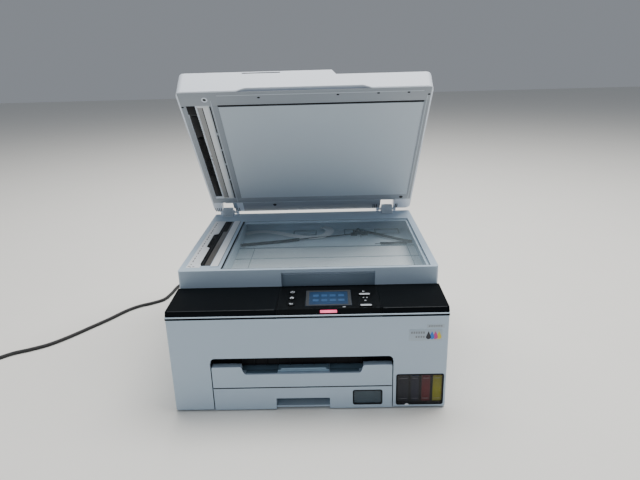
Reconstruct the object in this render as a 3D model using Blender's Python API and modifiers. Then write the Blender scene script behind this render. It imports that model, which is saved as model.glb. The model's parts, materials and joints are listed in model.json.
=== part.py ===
"""All-in-one ink-tank printer with a document feeder lid, built in millimetres and stored in metres.

Row frame: X to the right, Y to the back, Z up; origin under the middle of the casing, on the floor.
Rest pose: lid raised on its rear hinge, every other moving piece closed.
"""
import math

import bmesh
import bpy
from mathutils import Matrix
from mathutils import Vector

MM = 0.001
WELD = 0.000001

# Casing
HALF_W = 187.0
HALF_D = 190.0
CASE_BOTTOM = 3.0
CASE_TOP = 141.2
WALL = 2.5
FIT = 0.3
OVER = 1.0
CASE_CORNER = 3.0
FOOT_INSET = (37.0, 25.0)

# Tray bay in the front wall
BAY_LEFT = -132.6
BAY_RIGHT = 114.2
BAY_TOP = 83.0
BAY_CORNER = 6.0
FRONT_GAP = 0.8
SPLIT_Z = 36.6
OUT_TOP = 69.5
NOTCH_Z = 57.7
NOTCH_LEFT = -90.0
NOTCH_RIGHT = 73.0
GRIP_LEFT = -46.0
GRIP_RIGHT = 28.0
GRIP_TOP = 19.0
GRIP_DEEP = 15.0
GAUGE_X = (59.7, 100.3)
GAUGE_Z = (7.2, 30.6)
CASSETTE_REAR = HALF_D - 70.0
FRONT_PLATE = 2.6

# Ink bay
WINDOW_X = (BAY_RIGHT + 4.5, HALF_W - 3.4)
WINDOW_Z = (5.6, 54.5)
TANK_WIDTHS = (16.8, 13.8, 14.6, 14.8)
TANK_GAP = 0.6
TANK_LEFT = WINDOW_X[0] + 1.9
TANK_TOP = 92.0
TANK_Y = (-HALF_D + 3.4, -HALF_D + 94.0)
CAP_Y = (-HALF_D + 40.0, -HALF_D + 66.0)
CAP_HIGH = 9.0
CAP_HALF_W = 6.2
FILLER_R = 4.0
FILLER_HIGH = 4.0

# Rear cover, which carries the paper's way round the back
REAR_COVER_X = (-115.0, 115.0)
REAR_COVER_Z = (14.0, 122.0)
REAR_GUIDE_DEEP = 50.0

# Upper unit
PART_Z = CASE_TOP + FIT
CREASE_Y = -HALF_D + 5.5
CREASE_Z = PART_Z + 10.3
DECK_REAR_Z = PART_Z + 12.1
SCAN_HALF_W = HALF_W - 1.0
SCAN_FRONT = -HALF_D + 77.2
SCAN_REAR = HALF_D - 10.0
SCAN_TOP = PART_Z + 38.1
SCAN_FLOOR = 2.5
SCAN_FRONT_WALL = 10.8
GLASS_X = (-SCAN_HALF_W + 61.0, SCAN_HALF_W - 10.7)
GLASS_Y = (SCAN_FRONT + 6.8, SCAN_REAR - 54.0)
GLASS_THICK = 2.7
LEDGE = 4.0
STRIP_X = (-SCAN_HALF_W + 20.3, -SCAN_HALF_W + 43.1)
STRIP_Y = (GLASS_Y[0] + 14.0, GLASS_Y[1] + 5.0)
DIVIDER_X = (-SCAN_HALF_W + 43.7, -SCAN_HALF_W + 56.4)
DIVIDER_Y = (GLASS_Y[0] + 8.0, GLASS_Y[1] + 4.0)
DIVIDER_HIGH = 1.0
UNIT_AXIS_Y = HALF_D - 5.0
UNIT_AXIS_Z = CASE_TOP + FIT / 2
UNIT_KNUCKLE_R = 4.0
UNIT_PIN_R = 1.8
RUN_CLEAR = 0.06
LUG_X = (HALF_W - 19.0, HALF_W - 14.0)
ARM_X = (HALF_W - 24.7, HALF_W - 19.3)

# Operation panel
PANEL_X = (-39.7, 97.7)
PANEL_REAR = SCAN_FRONT - 2.8
PANEL_SWEEP = 1.6
PANEL_AXIS_Y = SCAN_FRONT - 4.2
PANEL_AXIS_Z = PART_Z + 9.7
PANEL_PIN_R = 0.9
PANEL_BOTTOM = PART_Z + 2.8
PANEL_SKIN = 2.2
SCOOP_X = (PANEL_X[0] + 1.7, PANEL_X[1] - 1.7)
SCOOP_DEEP = 7.0
SCOOP_TOP = SCAN_TOP - 5.1
SCREEN_X = (-1.9, 60.0)
SCREEN_Y = (CREASE_Y + 9.0, CREASE_Y + 55.5)
ROUND_KEYS = (
    ("key_power", -21.0, CREASE_Y + 49.9),
    ("key_home", -21.0, CREASE_Y + 32.2),
    ("key_back", -21.0, CREASE_Y + 14.2),
)
BAR_KEYS = (("key_start", 78.7, CREASE_Y + 40.0), ("key_stop", 78.7, CREASE_Y + 7.0))
ROUND_KEY_R = 5.0
BAR_KEY = (17.0, 7.0)
KEY_PROUD = 0.9
KEY_LONG = 4.2
LIGHT_X = (17.8, 39.9)

# Lid, given closed; the lid is then turned about its axis
LID_AXIS_Y = HALF_D - 6.0
LID_AXIS_Z = SCAN_TOP + 2.9
LID_OPEN = 49.6
LID_HALF_W = HALF_W
LID_FRONT = SCAN_FRONT - 17.9
LID_REAR = SCAN_REAR
LID_UNDER = SCAN_TOP + 1.5
LID_TOP_RIGHT = LID_UNDER + 28.5
LID_TOP_LEFT = LID_UNDER + 37.7
LID_STEP = (41.0, 47.0)
LID_CORNER = 9.0
LIP_X = (-98.0, -86.0, 86.0, 98.0)
LIP_HIGH = 5.0
LIP_DEEP = 12.0
PAD_X = (GLASS_X[0] - 4.0, GLASS_X[1] + 0.7)
PAD_Y = (LID_FRONT + 31.7, LID_REAR - 45.0)
PAD_Z = (LID_UNDER - 0.8, LID_UNDER + 2.9)
BACKING_X = (-LID_HALF_W + 25.4, -LID_HALF_W + 43.8)
BACKING_Y = (PAD_Y[0] - 2.0, PAD_Y[1] + 1.0)
BACKING_TOP = LID_UNDER + 1.9
GUIDE_SLOT_X = (-LID_HALF_W + 10.5, -LID_HALF_W + 23.0)
GUIDE_SLOT_Y = (PAD_Y[0] - 9.0, PAD_Y[1] - 5.0)
HINGE_RIGHT = (LID_HALF_W - 55.0, LID_HALF_W - 35.0)
HINGE_LEFT = (-LID_HALF_W + 19.0, -LID_HALF_W + 37.0)
HINGE_POCKET = 3.7
LID_EAR_R = 4.2
LID_EAR_WIDE = 5.0
LID_PIN_R = 2.0
LID_PIN_END = 3.4
FEEDER_POCKET_X = (-LID_HALF_W + 3.5, -62.0)
FEEDER_POCKET_Y = (LID_FRONT + 8.7, LID_REAR - 34.0)
FEEDER_FLOOR = LID_UNDER + 5.4
FEED_DECK_Z = LID_UNDER + 23.9
FLAP_UNDER = LID_TOP_LEFT - 3.8
COVER_X = (FEEDER_POCKET_X[0] + 2.5, FEEDER_POCKET_X[1] - FIT)
COVER_AXIS_X = COVER_X[0] + 2.5
COVER_AXIS_Z = LID_TOP_LEFT - 2.5
TRAY_X = (FEEDER_POCKET_X[1] + FIT, 36.0)
TRAY_AXIS_X = TRAY_X[1] - 2.0
TRAY_AXIS_Z = LID_TOP_LEFT - 0.8
DOCUMENT_HALF = 107.0
FEED_ROLLER_AT = (COVER_X[1] - 55.7, FEED_DECK_Z - 3.0)

# Mechanism
ROD_Y = 44.0
ROD_Z = 98.0
ROD_R = 4.0
RAIL_HALF = HALF_W - 4.0
CARRIAGE_X = (HALF_W - 61.0, HALF_W - 11.0)
CARRIAGE_UNDER = ROD_Z - 7.5
CHASSIS_Y = (-HALF_D + 40.0, HALF_D - 60.0)
SHAFT_X = (BAY_LEFT - 1.9, BAY_RIGHT + 0.5)
SHAFT_R = 3.0
SCAN_BAR_X = (STRIP_X[0] + 2.7, STRIP_X[1] - 4.1)

# Mains lead
CORD_R = 3.0
CORD_Z = 3.1
INLET_X = (-HALF_W + 15.0, -HALF_W + 39.0)
INLET_Z = (20.0, 42.0)
INLET_DEEP = 17.5
CONNECTOR_Y = (HALF_D - 13.0, HALF_D + 21.0)
RELIEF_LONG = 25.0
RELIEF_R = (4.8, 3.8)
COIL_CENTRE = (-597.5, -49.3)
COIL_MID_R = 36.0
COIL_HALF = (9.3, 5.9)
COIL_Z = 6.0
PLUG_X = -636.5
PLUG_Y = 5.0
PLUG_Z = (0.1, 14.0)

WHITE = ((0.80, 0.83, 0.86), 0.45, 0.0)
LIGHT_GREY = ((0.62, 0.65, 0.67), 0.5, 0.0)
MID_GREY = ((0.33, 0.35, 0.37), 0.55, 0.0)
BLACK = ((0.02, 0.022, 0.025), 0.4, 0.0)
DARK = ((0.05, 0.05, 0.055), 0.5, 0.0)
RUBBER = ((0.03, 0.03, 0.03), 0.85, 0.0)
STEEL = ((0.62, 0.63, 0.65), 0.3, 1.0)
CLEAR = ((0.72, 0.82, 0.84), 0.05, 0.0)
SMOKE = ((0.08, 0.08, 0.09), 0.15, 0.0)
PAD_WHITE = ((0.74, 0.76, 0.78), 0.7, 0.0)
BOARD = ((0.03, 0.22, 0.10), 0.5, 0.0)
LCD = ((0.10, 0.18, 0.32), 0.15, 0.0)
PINK = ((0.95, 0.35, 0.45), 0.3, 0.0)

for old in list(bpy.data.objects):
    bpy.data.objects.remove(old, do_unlink=True)

PARTS = bpy.data.collections.new("inkjet_printer")
CUTTERS = bpy.data.collections.new("cutters")
bpy.context.scene.collection.children.link(PARTS)
bpy.context.scene.collection.children.link(CUTTERS)


def material(name, look):
    colour, rough, metal = look
    mat = bpy.data.materials.new(name)
    mat.use_nodes = True
    shader = mat.node_tree.nodes["Principled BSDF"]
    shader.inputs["Base Color"].default_value = (*colour, 1.0)
    shader.inputs["Roughness"].default_value = rough
    shader.inputs["Metallic"].default_value = metal
    return mat


def placed(name, mesh):
    """An object in the part's collection."""
    obj = bpy.data.objects.new(name, mesh)
    PARTS.objects.link(obj)
    return obj


def from_bmesh(name, bm):
    """An object holding the bmesh, given in millimetres."""
    bmesh.ops.scale(bm, vec=(MM, MM, MM), verts=bm.verts)
    mesh = bpy.data.meshes.new(name)
    bm.to_mesh(mesh)
    bm.free()
    return placed(name, mesh)


def as_mesh(name, source, turn):
    """The evaluated source as a welded mesh, turned by a matrix; the source goes."""
    bpy.context.scene.collection.objects.link(source)
    bpy.context.view_layer.update()
    seen = source.evaluated_get(bpy.context.evaluated_depsgraph_get())
    mesh = bpy.data.meshes.new_from_object(seen)
    bpy.data.objects.remove(source, do_unlink=True)
    mesh.transform(turn)
    bm = bmesh.new()
    bm.from_mesh(mesh)
    bmesh.ops.remove_doubles(bm, verts=bm.verts, dist=WELD)
    bmesh.ops.recalc_face_normals(bm, faces=bm.faces)
    bm.to_mesh(mesh)
    bm.free()
    mesh.name = name
    return placed(name, mesh)


# Each axis as the matrix that carries a shape's own z onto it, and its own x, y onto the outline's axes.
ONTO = {
    "X": Matrix(((0, 0, 1, 0), (1, 0, 0, 0), (0, 1, 0, 0), (0, 0, 0, 1))),
    "Y": Matrix(((1, 0, 0, 0), (0, 0, 1, 0), (0, 1, 0, 0), (0, 0, 0, 1))),
    "Z": Matrix.Identity(4),
}


def box(name, xs, ys, zs):
    bm = bmesh.new()
    bmesh.ops.create_cube(bm, size=1.0)
    size = (xs[1] - xs[0], ys[1] - ys[0], zs[1] - zs[0])
    middle = ((xs[0] + xs[1]) / 2, (ys[0] + ys[1]) / 2, (zs[0] + zs[1]) / 2)
    bmesh.ops.scale(bm, vec=size, verts=bm.verts)
    bmesh.ops.translate(bm, vec=middle, verts=bm.verts)
    return from_bmesh(name, bm)


def prism(name, outline, axis, low, high):
    """The outline swept along an axis: (y, z) for X, (x, z) for Y, (x, y) for Z."""
    data = bpy.data.curves.new(name + "_outline", "CURVE")
    data.dimensions = "2D"
    data.fill_mode = "BOTH"
    data.extrude = (high - low) / 2 * MM
    line = data.splines.new("POLY")
    line.points.add(len(outline) - 1)
    line.use_cyclic_u = True
    for spot, (u, v) in zip(line.points, outline):
        spot.co = (u * MM, v * MM, 0.0, 1.0)
    middle = Matrix.Translation((0.0, 0.0, (low + high) / 2 * MM))
    return as_mesh(name, bpy.data.objects.new(name + "_outline", data), ONTO[axis] @ middle)


def rounded(us, vs, radii, steps=4):
    """A rectangle's outline with rounded corners, from the low corner round."""
    if not isinstance(radii, tuple):
        radii = (radii, radii, radii, radii)
    corners = ((us[0], vs[0]), (us[1], vs[0]), (us[1], vs[1]), (us[0], vs[1]))
    inward = ((1, 1), (-1, 1), (-1, -1), (1, -1))
    outline = []
    for index, (corner, side, radius) in enumerate(zip(corners, inward, radii)):
        if radius <= 0:
            outline.append(corner)
            continue
        centre = (corner[0] + side[0] * radius, corner[1] + side[1] * radius)
        start = math.pi + index * math.pi / 2
        for step in range(steps + 1):
            turn = start + step / steps * math.pi / 2
            outline.append((centre[0] + radius * math.cos(turn), centre[1] + radius * math.sin(turn)))
    return outline


def cylinder(name, axis, centre, radius, low, high, count=24):
    bm = bmesh.new()
    bmesh.ops.create_cone(
        bm,
        cap_ends=True,
        segments=count,
        radius1=radius,
        radius2=radius,
        depth=high - low,
    )
    bmesh.ops.translate(bm, vec=(centre[0], centre[1], (low + high) / 2), verts=bm.verts)
    bmesh.ops.transform(bm, matrix=ONTO[axis], verts=bm.verts)
    if axis == "Y":
        bmesh.ops.reverse_faces(bm, faces=bm.faces)
    return from_bmesh(name, bm)


def screwed(name, path, closed, turn, count):
    """A turned solid: a profile of (radius, along) points run once round its own z."""
    mesh = bpy.data.meshes.new(name + "_profile")
    points = [(radius * MM, 0.0, along * MM) for radius, along in path]
    pairs = [(index, index + 1) for index in range(len(points) - 1)]
    if closed:
        pairs.append((len(points) - 1, 0))
    mesh.from_pydata(points, pairs, [])
    source = bpy.data.objects.new(name + "_profile", mesh)
    step = source.modifiers.new("turn", "SCREW")
    step.steps = count
    step.render_steps = count
    step.use_merge_vertices = True
    step.merge_threshold = WELD
    return as_mesh(name, source, turn)


def turned(name, axis, centre, profile, count=24):
    """A turned solid: profile of (along, radius) pairs about an axis through centre."""
    ends = (profile[-1][0], profile[0][0])
    path = [(0.0, ends[0])] + [(radius, along) for along, radius in reversed(profile)] + [(0.0, ends[1])]
    place = Matrix.Translation((centre[0] * MM, centre[1] * MM, 0.0))
    return screwed(name, path, False, ONTO[axis] @ place, count)


def ring(name, centre, z, mid_radius, halves, count=40):
    """A turned ring with a rounded section, lying flat; halves are its half width and half height."""
    sides = 8
    section = []
    for index in range(sides):
        turn = -2 * math.pi * (index + 0.5) / sides
        section.append((mid_radius + halves[0] * math.cos(turn), halves[1] * math.sin(turn)))
    place = Matrix.Translation((centre[0] * MM, centre[1] * MM, z * MM))
    return screwed(name, section, True, place, count)


def as_tool(obj):
    for holder in list(obj.users_collection):
        holder.objects.unlink(obj)
    CUTTERS.objects.link(obj)
    obj.hide_render = True
    obj.display_type = "WIRE"


def combine(target, kind, tools):
    for tool in tools:
        as_tool(tool)
        step = target.modifiers.new(tool.name, "BOOLEAN")
        step.operation = kind
        step.solver = "EXACT"
        step.object = tool


def cut(target, *tools):
    combine(target, "DIFFERENCE", tools)


def unite(target, *tools):
    combine(target, "UNION", tools)


def finish(obj, look, origin=(0.0, 0.0, 0.0), parent=None):
    """Gives the piece its material and puts its origin on its joint axis."""
    obj.data.materials.append(material(obj.name, look))
    shift = Vector(origin) * MM
    obj.data.transform(Matrix.Translation(-shift))
    base = Vector((0.0, LID_AXIS_Y, LID_AXIS_Z)) * MM if parent else Vector((0.0, 0.0, 0.0))
    obj.location = shift - base
    for step in obj.modifiers:
        tool = step.object
        if parent:
            tool.parent = parent
            tool.location = -base
    if parent:
        obj.parent = parent
    return obj


# ---- lower casing -------------------------------------------------------------------------------
front = -HALF_D
inside_x = (-HALF_W + WALL, HALF_W - WALL)
inside_y = (-HALF_D + WALL, HALF_D - WALL)
casing = prism(
    "lower_casing",
    rounded((-HALF_W, HALF_W), (-HALF_D, HALF_D), CASE_CORNER, 3),
    "Z",
    CASE_BOTTOM,
    CASE_TOP,
)
cut(
    casing,
    box("casing_hollow", inside_x, inside_y, (CASE_BOTTOM + WALL, CASE_TOP + OVER)),
    prism(
        "bay_opening",
        rounded((BAY_LEFT, BAY_RIGHT), (CASE_BOTTOM - 1, BAY_TOP), (0, 0, BAY_CORNER, BAY_CORNER), 4),
        "Y",
        front - 1,
        front + FRONT_PLATE + FIT,
    ),
    prism("ink_window_opening", rounded(WINDOW_X, WINDOW_Z, 3.0, 3), "Y", front - 1, front + WALL + 1),
    prism(
        "rear_cover_opening",
        rounded(REAR_COVER_X, REAR_COVER_Z, 4.0, 3),
        "Y",
        HALF_D - WALL - 1,
        HALF_D + 1,
    ),
    box("inlet_opening", INLET_X, (HALF_D - WALL - 1, HALF_D + 1), INLET_Z),
)
lug_z = (UNIT_AXIS_Z - 13.0, UNIT_AXIS_Z)
for side, word in ((1, "right"), (-1, "left")):
    low, high = sorted((side * LUG_X[0], side * LUG_X[1]))
    unite(
        casing,
        box(f"lug_block_{word}", (low, high), (UNIT_AXIS_Y - 4, HALF_D - 1), lug_z),
        cylinder(f"lug_eye_{word}", "X", (UNIT_AXIS_Y, UNIT_AXIS_Z), UNIT_KNUCKLE_R, low, high),
    )
    low, high = sorted((side * (ARM_X[0] - FIT - 0.2), side * LUG_X[0]))
    notch_z = (UNIT_AXIS_Z - UNIT_KNUCKLE_R - 0.85, CASE_TOP + OVER)
    cut(casing, box(f"arm_notch_{word}", (low, high), (UNIT_AXIS_Y - 1, HALF_D + 1), notch_z))
    low, high = sorted((side * (ARM_X[0] + FIT), side * (LUG_X[0] + 1)))
    unite(casing, cylinder(f"unit_pin_{word}", "X", (UNIT_AXIS_Y, UNIT_AXIS_Z), UNIT_PIN_R, low, high, 16))
finish(casing, WHITE)

for word, across, along in (
    ("front_left", -1, -1),
    ("front_right", 1, -1),
    ("rear_left", -1, 1),
    ("rear_right", 1, 1),
):
    spot = (across * (HALF_W - FOOT_INSET[0]), along * (HALF_D - FOOT_INSET[1]))
    foot = turned(f"foot_{word}", "Z", spot, [(0.0, 8.0), (CASE_BOTTOM - FIT, 9.0)], 20)
    finish(foot, RUBBER)

window = prism(
    "ink_window",
    rounded(
        (WINDOW_X[0] + FIT, WINDOW_X[1] - FIT),
        (WINDOW_Z[0] + FIT, WINDOW_Z[1] - FIT),
        2.7,
        3,
    ),
    "Y",
    front,
    front + 2.0,
)
finish(window, SMOKE)

# ---- ink tanks and their caps -------------------------------------------------------------------
INKS = (
    ("black", (0.02, 0.02, 0.02)),
    ("cyan", (0.02, 0.22, 0.55)),
    ("magenta", (0.60, 0.05, 0.20)),
    ("yellow", (0.85, 0.72, 0.05)),
)
cap_mid = (CAP_Y[0] + CAP_Y[1]) / 2
low = TANK_LEFT
for (word, colour), wide in zip(INKS, TANK_WIDTHS):
    high = low + wide
    tank = prism(
        f"ink_tank_{word}",
        [
            (TANK_Y[0], 7.0),
            (TANK_Y[1], 7.0),
            (TANK_Y[1], TANK_TOP),
            (CAP_Y[0] - 8.0, TANK_TOP),
            (CAP_Y[0] - 14.0, 72.0),
            (TANK_Y[0], 68.0),
        ],
        "X",
        low,
        high,
    )
    mid = (low + high) / 2
    filler_z = (TANK_TOP - 1, TANK_TOP + FILLER_HIGH)
    unite(tank, cylinder(f"filler_{word}", "Z", (mid, cap_mid), FILLER_R, *filler_z, 16))
    finish(tank, (colour, 0.2, 0.0))
    cap_low = TANK_TOP + FIT
    cap = prism(
        f"tank_cap_{word}",
        rounded((mid - CAP_HALF_W, mid + CAP_HALF_W), CAP_Y, (4.0, 4.0, 0.0, 0.0), 3),
        "Z",
        cap_low,
        cap_low + CAP_HIGH,
    )
    well_z = (cap_low - 1, cap_low + FILLER_HIGH + 1.6)
    cut(cap, cylinder(f"cap_well_{word}", "Z", (mid, cap_mid), FILLER_R + 1.6, *well_z, 16))
    finish(cap, (colour, 0.45, 0.0), (mid, CAP_Y[1], cap_low + 2.0))
    low = high + TANK_GAP

# ---- print mechanism ----------------------------------------------------------------------------
CHASSIS_Z = (CASE_BOTTOM + WALL + 0.5, CARRIAGE_UNDER - 0.5)
beam_x = (BAY_LEFT - 3.0, BAY_RIGHT + 2.0)
beam_z = (BAY_TOP + 2.0, BAY_TOP + 6.5)
chassis = box("print_chassis", (BAY_LEFT - 4.9, BAY_LEFT - 2.4), CHASSIS_Y, CHASSIS_Z)
unite(
    chassis,
    box("chassis_right", (BAY_RIGHT + 1.0, BAY_RIGHT + 3.5), CHASSIS_Y, CHASSIS_Z),
    box("chassis_front_beam", beam_x, (CHASSIS_Y[0], CHASSIS_Y[0] + 12.0), beam_z),
    box("chassis_rear_beam", beam_x, (CHASSIS_Y[1] - 18.0, CHASSIS_Y[1] - 8.0), beam_z),
)
finish(chassis, DARK)

RAIL_SHEET = 1.4
rail_x = (-RAIL_HALF, RAIL_HALF)
rail_z = (ROD_Z - 5.5, ROD_Z + 36.0)
cheek_y = (ROD_Y - 59.0, ROD_Y + 23.0)
cheek_z = (rail_z[0], ROD_Z + 18.0)
rail = box("rail_frame", rail_x, (ROD_Y + 22.0, ROD_Y + 23.5), rail_z)
unite(
    rail,
    box("rail_cheek_left", (-RAIL_HALF, -RAIL_HALF + RAIL_SHEET), cheek_y, cheek_z),
    box("rail_cheek_right", (RAIL_HALF - RAIL_SHEET, RAIL_HALF), cheek_y, cheek_z),
    box("rail_flange", rail_x, (ROD_Y + 12.0, ROD_Y + 23.0), (rail_z[1] - RAIL_SHEET, rail_z[1])),
)
finish(rail, STEEL)
rod_half = RAIL_HALF - RAIL_SHEET - FIT
rod = cylinder("guide_rod", "X", (ROD_Y, ROD_Z), ROD_R, -rod_half, rod_half, 24)
finish(rod, STEEL)

RIBS = 14
platen_x = (SHAFT_X[0] - 0.2, SHAFT_X[1] + 0.2)
PLATEN_Z = (80.0, 85.0, 87.5)
comb = [(platen_x[0], PLATEN_Z[0]), (platen_x[1], PLATEN_Z[0])]
pitch = (platen_x[1] - platen_x[0]) / RIBS
for step in range(RIBS - 1, -1, -1):
    start = platen_x[0] + step * pitch
    comb += [(start + pitch, PLATEN_Z[1]), (start + pitch * 0.6, PLATEN_Z[1])]
    comb += [(start + pitch * 0.6, PLATEN_Z[2]), (start + pitch * 0.4, PLATEN_Z[2])]
    comb.append((start + pitch * 0.4, PLATEN_Z[1]))
comb.append((platen_x[0], PLATEN_Z[1]))
platen = prism("platen", comb, "Y", -22.0, 38.0)
finish(platen, DARK)


def roller_profile(tyre, spans, ends):
    profile = [(ends[0], SHAFT_R)]
    for start, end in spans:
        profile += [(start, SHAFT_R), (start, tyre), (end, tyre), (end, SHAFT_R)]
    profile.append((ends[1], SHAFT_R))
    return profile


def roller(name, y, z, tyre, spans):
    obj = turned(name, "X", (y, z), roller_profile(tyre, spans, SHAFT_X), 20)
    finish(obj, RUBBER, (sum(SHAFT_X) / 2, y, z))


WIDE_SPANS = ((-110.0, -70.0), (-40.0, 0.0), (30.0, 70.0))
roller("feed_roller", 52.5, 83.0, 6.0, WIDE_SPANS)
roller("eject_roller", -34.0, 80.5, 5.0, WIDE_SPANS)
roller("pickup_roller", 92.0, 46.0, 11.0, ((-32.0, 13.0),))

carriage_top = ROD_Z + 32.0
carriage = box("print_carriage", CARRIAGE_X, (ROD_Y - 56.0, ROD_Y + 10.0), (CARRIAGE_UNDER, carriage_top))
bore_x = (CARRIAGE_X[0] - OVER, CARRIAGE_X[1] + OVER)
well_x = (CARRIAGE_X[0] + 3.0, CARRIAGE_X[1] - 3.0)
cut(
    carriage,
    cylinder("carriage_bore", "X", (ROD_Y, ROD_Z), ROD_R + RUN_CLEAR, *bore_x, 24),
    box("carriage_well", well_x, (ROD_Y - 53.0, ROD_Y - 10.0), (ROD_Z + 8.0, carriage_top + OVER)),
)
finish(carriage, DARK, ((CARRIAGE_X[0] + CARRIAGE_X[1]) / 2, ROD_Y, ROD_Z))

service_x = (BAY_RIGHT + 6.8, HALF_W - 6.5)
service_z = (30.0, CARRIAGE_UNDER - 8.5)
seal_z = (service_z[1] - 1.0, CARRIAGE_UNDER - 2.5)
service = box("maintenance_unit", service_x, (ROD_Y - 58.0, ROD_Y + 16.0), service_z)
unite(
    service,
    box("cap_black", (CARRIAGE_X[0] + 4.0, CARRIAGE_X[0] + 20.0), (ROD_Y - 48.0, ROD_Y - 14.0), seal_z),
    box("cap_colour", (CARRIAGE_X[0] + 26.0, CARRIAGE_X[0] + 46.0), (ROD_Y - 48.0, ROD_Y - 14.0), seal_z),
)
finish(service, MID_GREY)

board_x = (-HALF_W + 5.0, -HALF_W + 6.6)
board = box("main_board", board_x, (-170.0, -20.0), (20.0, 125.0))
CHIPS = (
    (3.0, (-110.0, -80.0), (70.0, 100.0)),
    (2.4, (-60.0, -46.0), (60.0, 84.0)),
    (11.0, (-70.0, -30.0), (30.0, 44.0)),
    (9.0, (-150.0, -140.0), (30.0, 60.0)),
    (13.0, (-60.0, -48.0), (100.0, 112.0)),
)
for index, (tall, ys, zs) in enumerate(CHIPS):
    unite(board, box(f"board_part_{index}", (board_x[0] + 1.0, board_x[0] + 1.0 + tall), ys, zs))
finish(board, BOARD)

supply = box("power_supply", (-HALF_W + 4.0, -HALF_W + 46.0), (HALF_D - 94.0, HALF_D - 18.0), (8.0, 58.0))
finish(supply, STEEL)

inlet_mid_x = (INLET_X[0] + INLET_X[1]) / 2
inlet_mid_z = (INLET_Z[0] + INLET_Z[1]) / 2
inlet_mid = (inlet_mid_x, inlet_mid_z)


def inlet_outline(half_wide, half_high, corner):
    """A rounded outline about the middle of the power inlet."""
    wide = (inlet_mid_x - half_wide, inlet_mid_x + half_wide)
    return rounded(wide, (inlet_mid_z - half_high, inlet_mid_z + half_high), corner, 3)


inlet = box(
    "power_inlet",
    (INLET_X[0] + FIT, INLET_X[1] - FIT),
    (HALF_D - INLET_DEEP, HALF_D),
    (INLET_Z[0] + FIT, INLET_Z[1] - FIT),
)
SOCKET_HALF = (9.0, 5.0)
cut(
    inlet,
    prism("inlet_socket", inlet_outline(*SOCKET_HALF, 4.0), "Y", CONNECTOR_Y[0] - 1.0, HALF_D + OVER),
)
finish(inlet, BLACK)

rear_cover = prism(
    "rear_cover",
    rounded(
        (REAR_COVER_X[0] + FIT, REAR_COVER_X[1] - FIT),
        (REAR_COVER_Z[0] + FIT, REAR_COVER_Z[1] - FIT),
        3.7,
        3,
    ),
    "Y",
    HALF_D - WALL,
    HALF_D,
)
rear_mid = sum(REAR_COVER_Z) / 2
guide_x = (REAR_COVER_X[0] + 3.0, REAR_COVER_X[1] - 3.0)
guide_y = (HALF_D - REAR_GUIDE_DEEP, HALF_D - WALL + 1)
guide_z = (REAR_COVER_Z[0] + 8.0, REAR_COVER_Z[1] - 8.0)
unite(rear_cover, box("rear_guide_block", guide_x, guide_y, guide_z))
curve_x = (guide_x[0] - OVER, guide_x[1] + OVER)
grip_z = (REAR_COVER_Z[1] - 22.0, REAR_COVER_Z[1] - 10.0)
cut(
    rear_cover,
    cylinder("rear_guide_curve", "X", (guide_y[0], rear_mid), 36.0, *curve_x, 28),
    prism("rear_grip", rounded((-30.0, 30.0), grip_z, 4.0, 3), "Y", HALF_D - 8.0, HALF_D + 1),
)
finish(rear_cover, MID_GREY, (0.0, HALF_D, rear_mid))

# ---- paper cassette and output tray -------------------------------------------------------------
face_x = (BAY_LEFT + FRONT_GAP, BAY_RIGHT - FRONT_GAP)
plate_y = (front, front + FRONT_PLATE)
TUB_X = (BAY_LEFT + 3.6, BAY_RIGHT - 3.6)
TUB_FLOOR = 8.4
grip_back = front + FRONT_PLATE + GRIP_DEEP
cassette = box("paper_cassette", face_x, plate_y, (2.0, SPLIT_Z - FIT))
tub = box("cassette_tub", TUB_X, (front + 1.0, CASSETTE_REAR), (6.2, 35.0))
unite(cassette, tub)
cut(
    cassette,
    box(
        "cassette_hollow",
        (TUB_X[0] + 2, TUB_X[1] - 2),
        (front + FRONT_PLATE, CASSETTE_REAR - 2),
        (TUB_FLOOR, SPLIT_Z),
    ),
)
unite(
    cassette,
    box(
        "grip_housing",
        (GRIP_LEFT - 2, GRIP_RIGHT + 2),
        (front + 1.0, grip_back + 2),
        (7.0, GRIP_TOP + 2),
    ),
)
cut(
    cassette,
    box("grip_notch", (GRIP_LEFT, GRIP_RIGHT), (front - 1, grip_back), (1.0, GRIP_TOP)),
    box("rear_wall_dip", (-40.0, 22.0), (CASSETTE_REAR - 3, CASSETTE_REAR + 1), (26.0, 36.0)),
    prism("gauge_opening", rounded(GAUGE_X, GAUGE_Z, 3.0, 3), "Y", front - 1, front + FRONT_PLATE + 1),
)
finish(cassette, WHITE, (0.0, front, SPLIT_Z / 2))

GUIDE_FLOOR = TUB_FLOOR + FIT
GUIDE_INSET = 13.8
for word, side, wall in (("left", -1, TUB_X[0]), ("right", 1, TUB_X[1])):
    edge = wall - side * GUIDE_INSET
    low, high = sorted((edge, edge + side * 2.5))
    guide = box(f"paper_guide_{word}", (low, high), (-110.0, -20.0), (GUIDE_FLOOR, 31.0))
    low, high = sorted((edge + side * 1.0, edge - side * 34.0))
    unite(guide, box(f"guide_foot_{word}", (low, high), (-80.0, -50.0), (GUIDE_FLOOR, GUIDE_FLOOR + 1.6)))
    finish(guide, LIGHT_GREY, (edge, -65.0, GUIDE_FLOOR))

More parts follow.
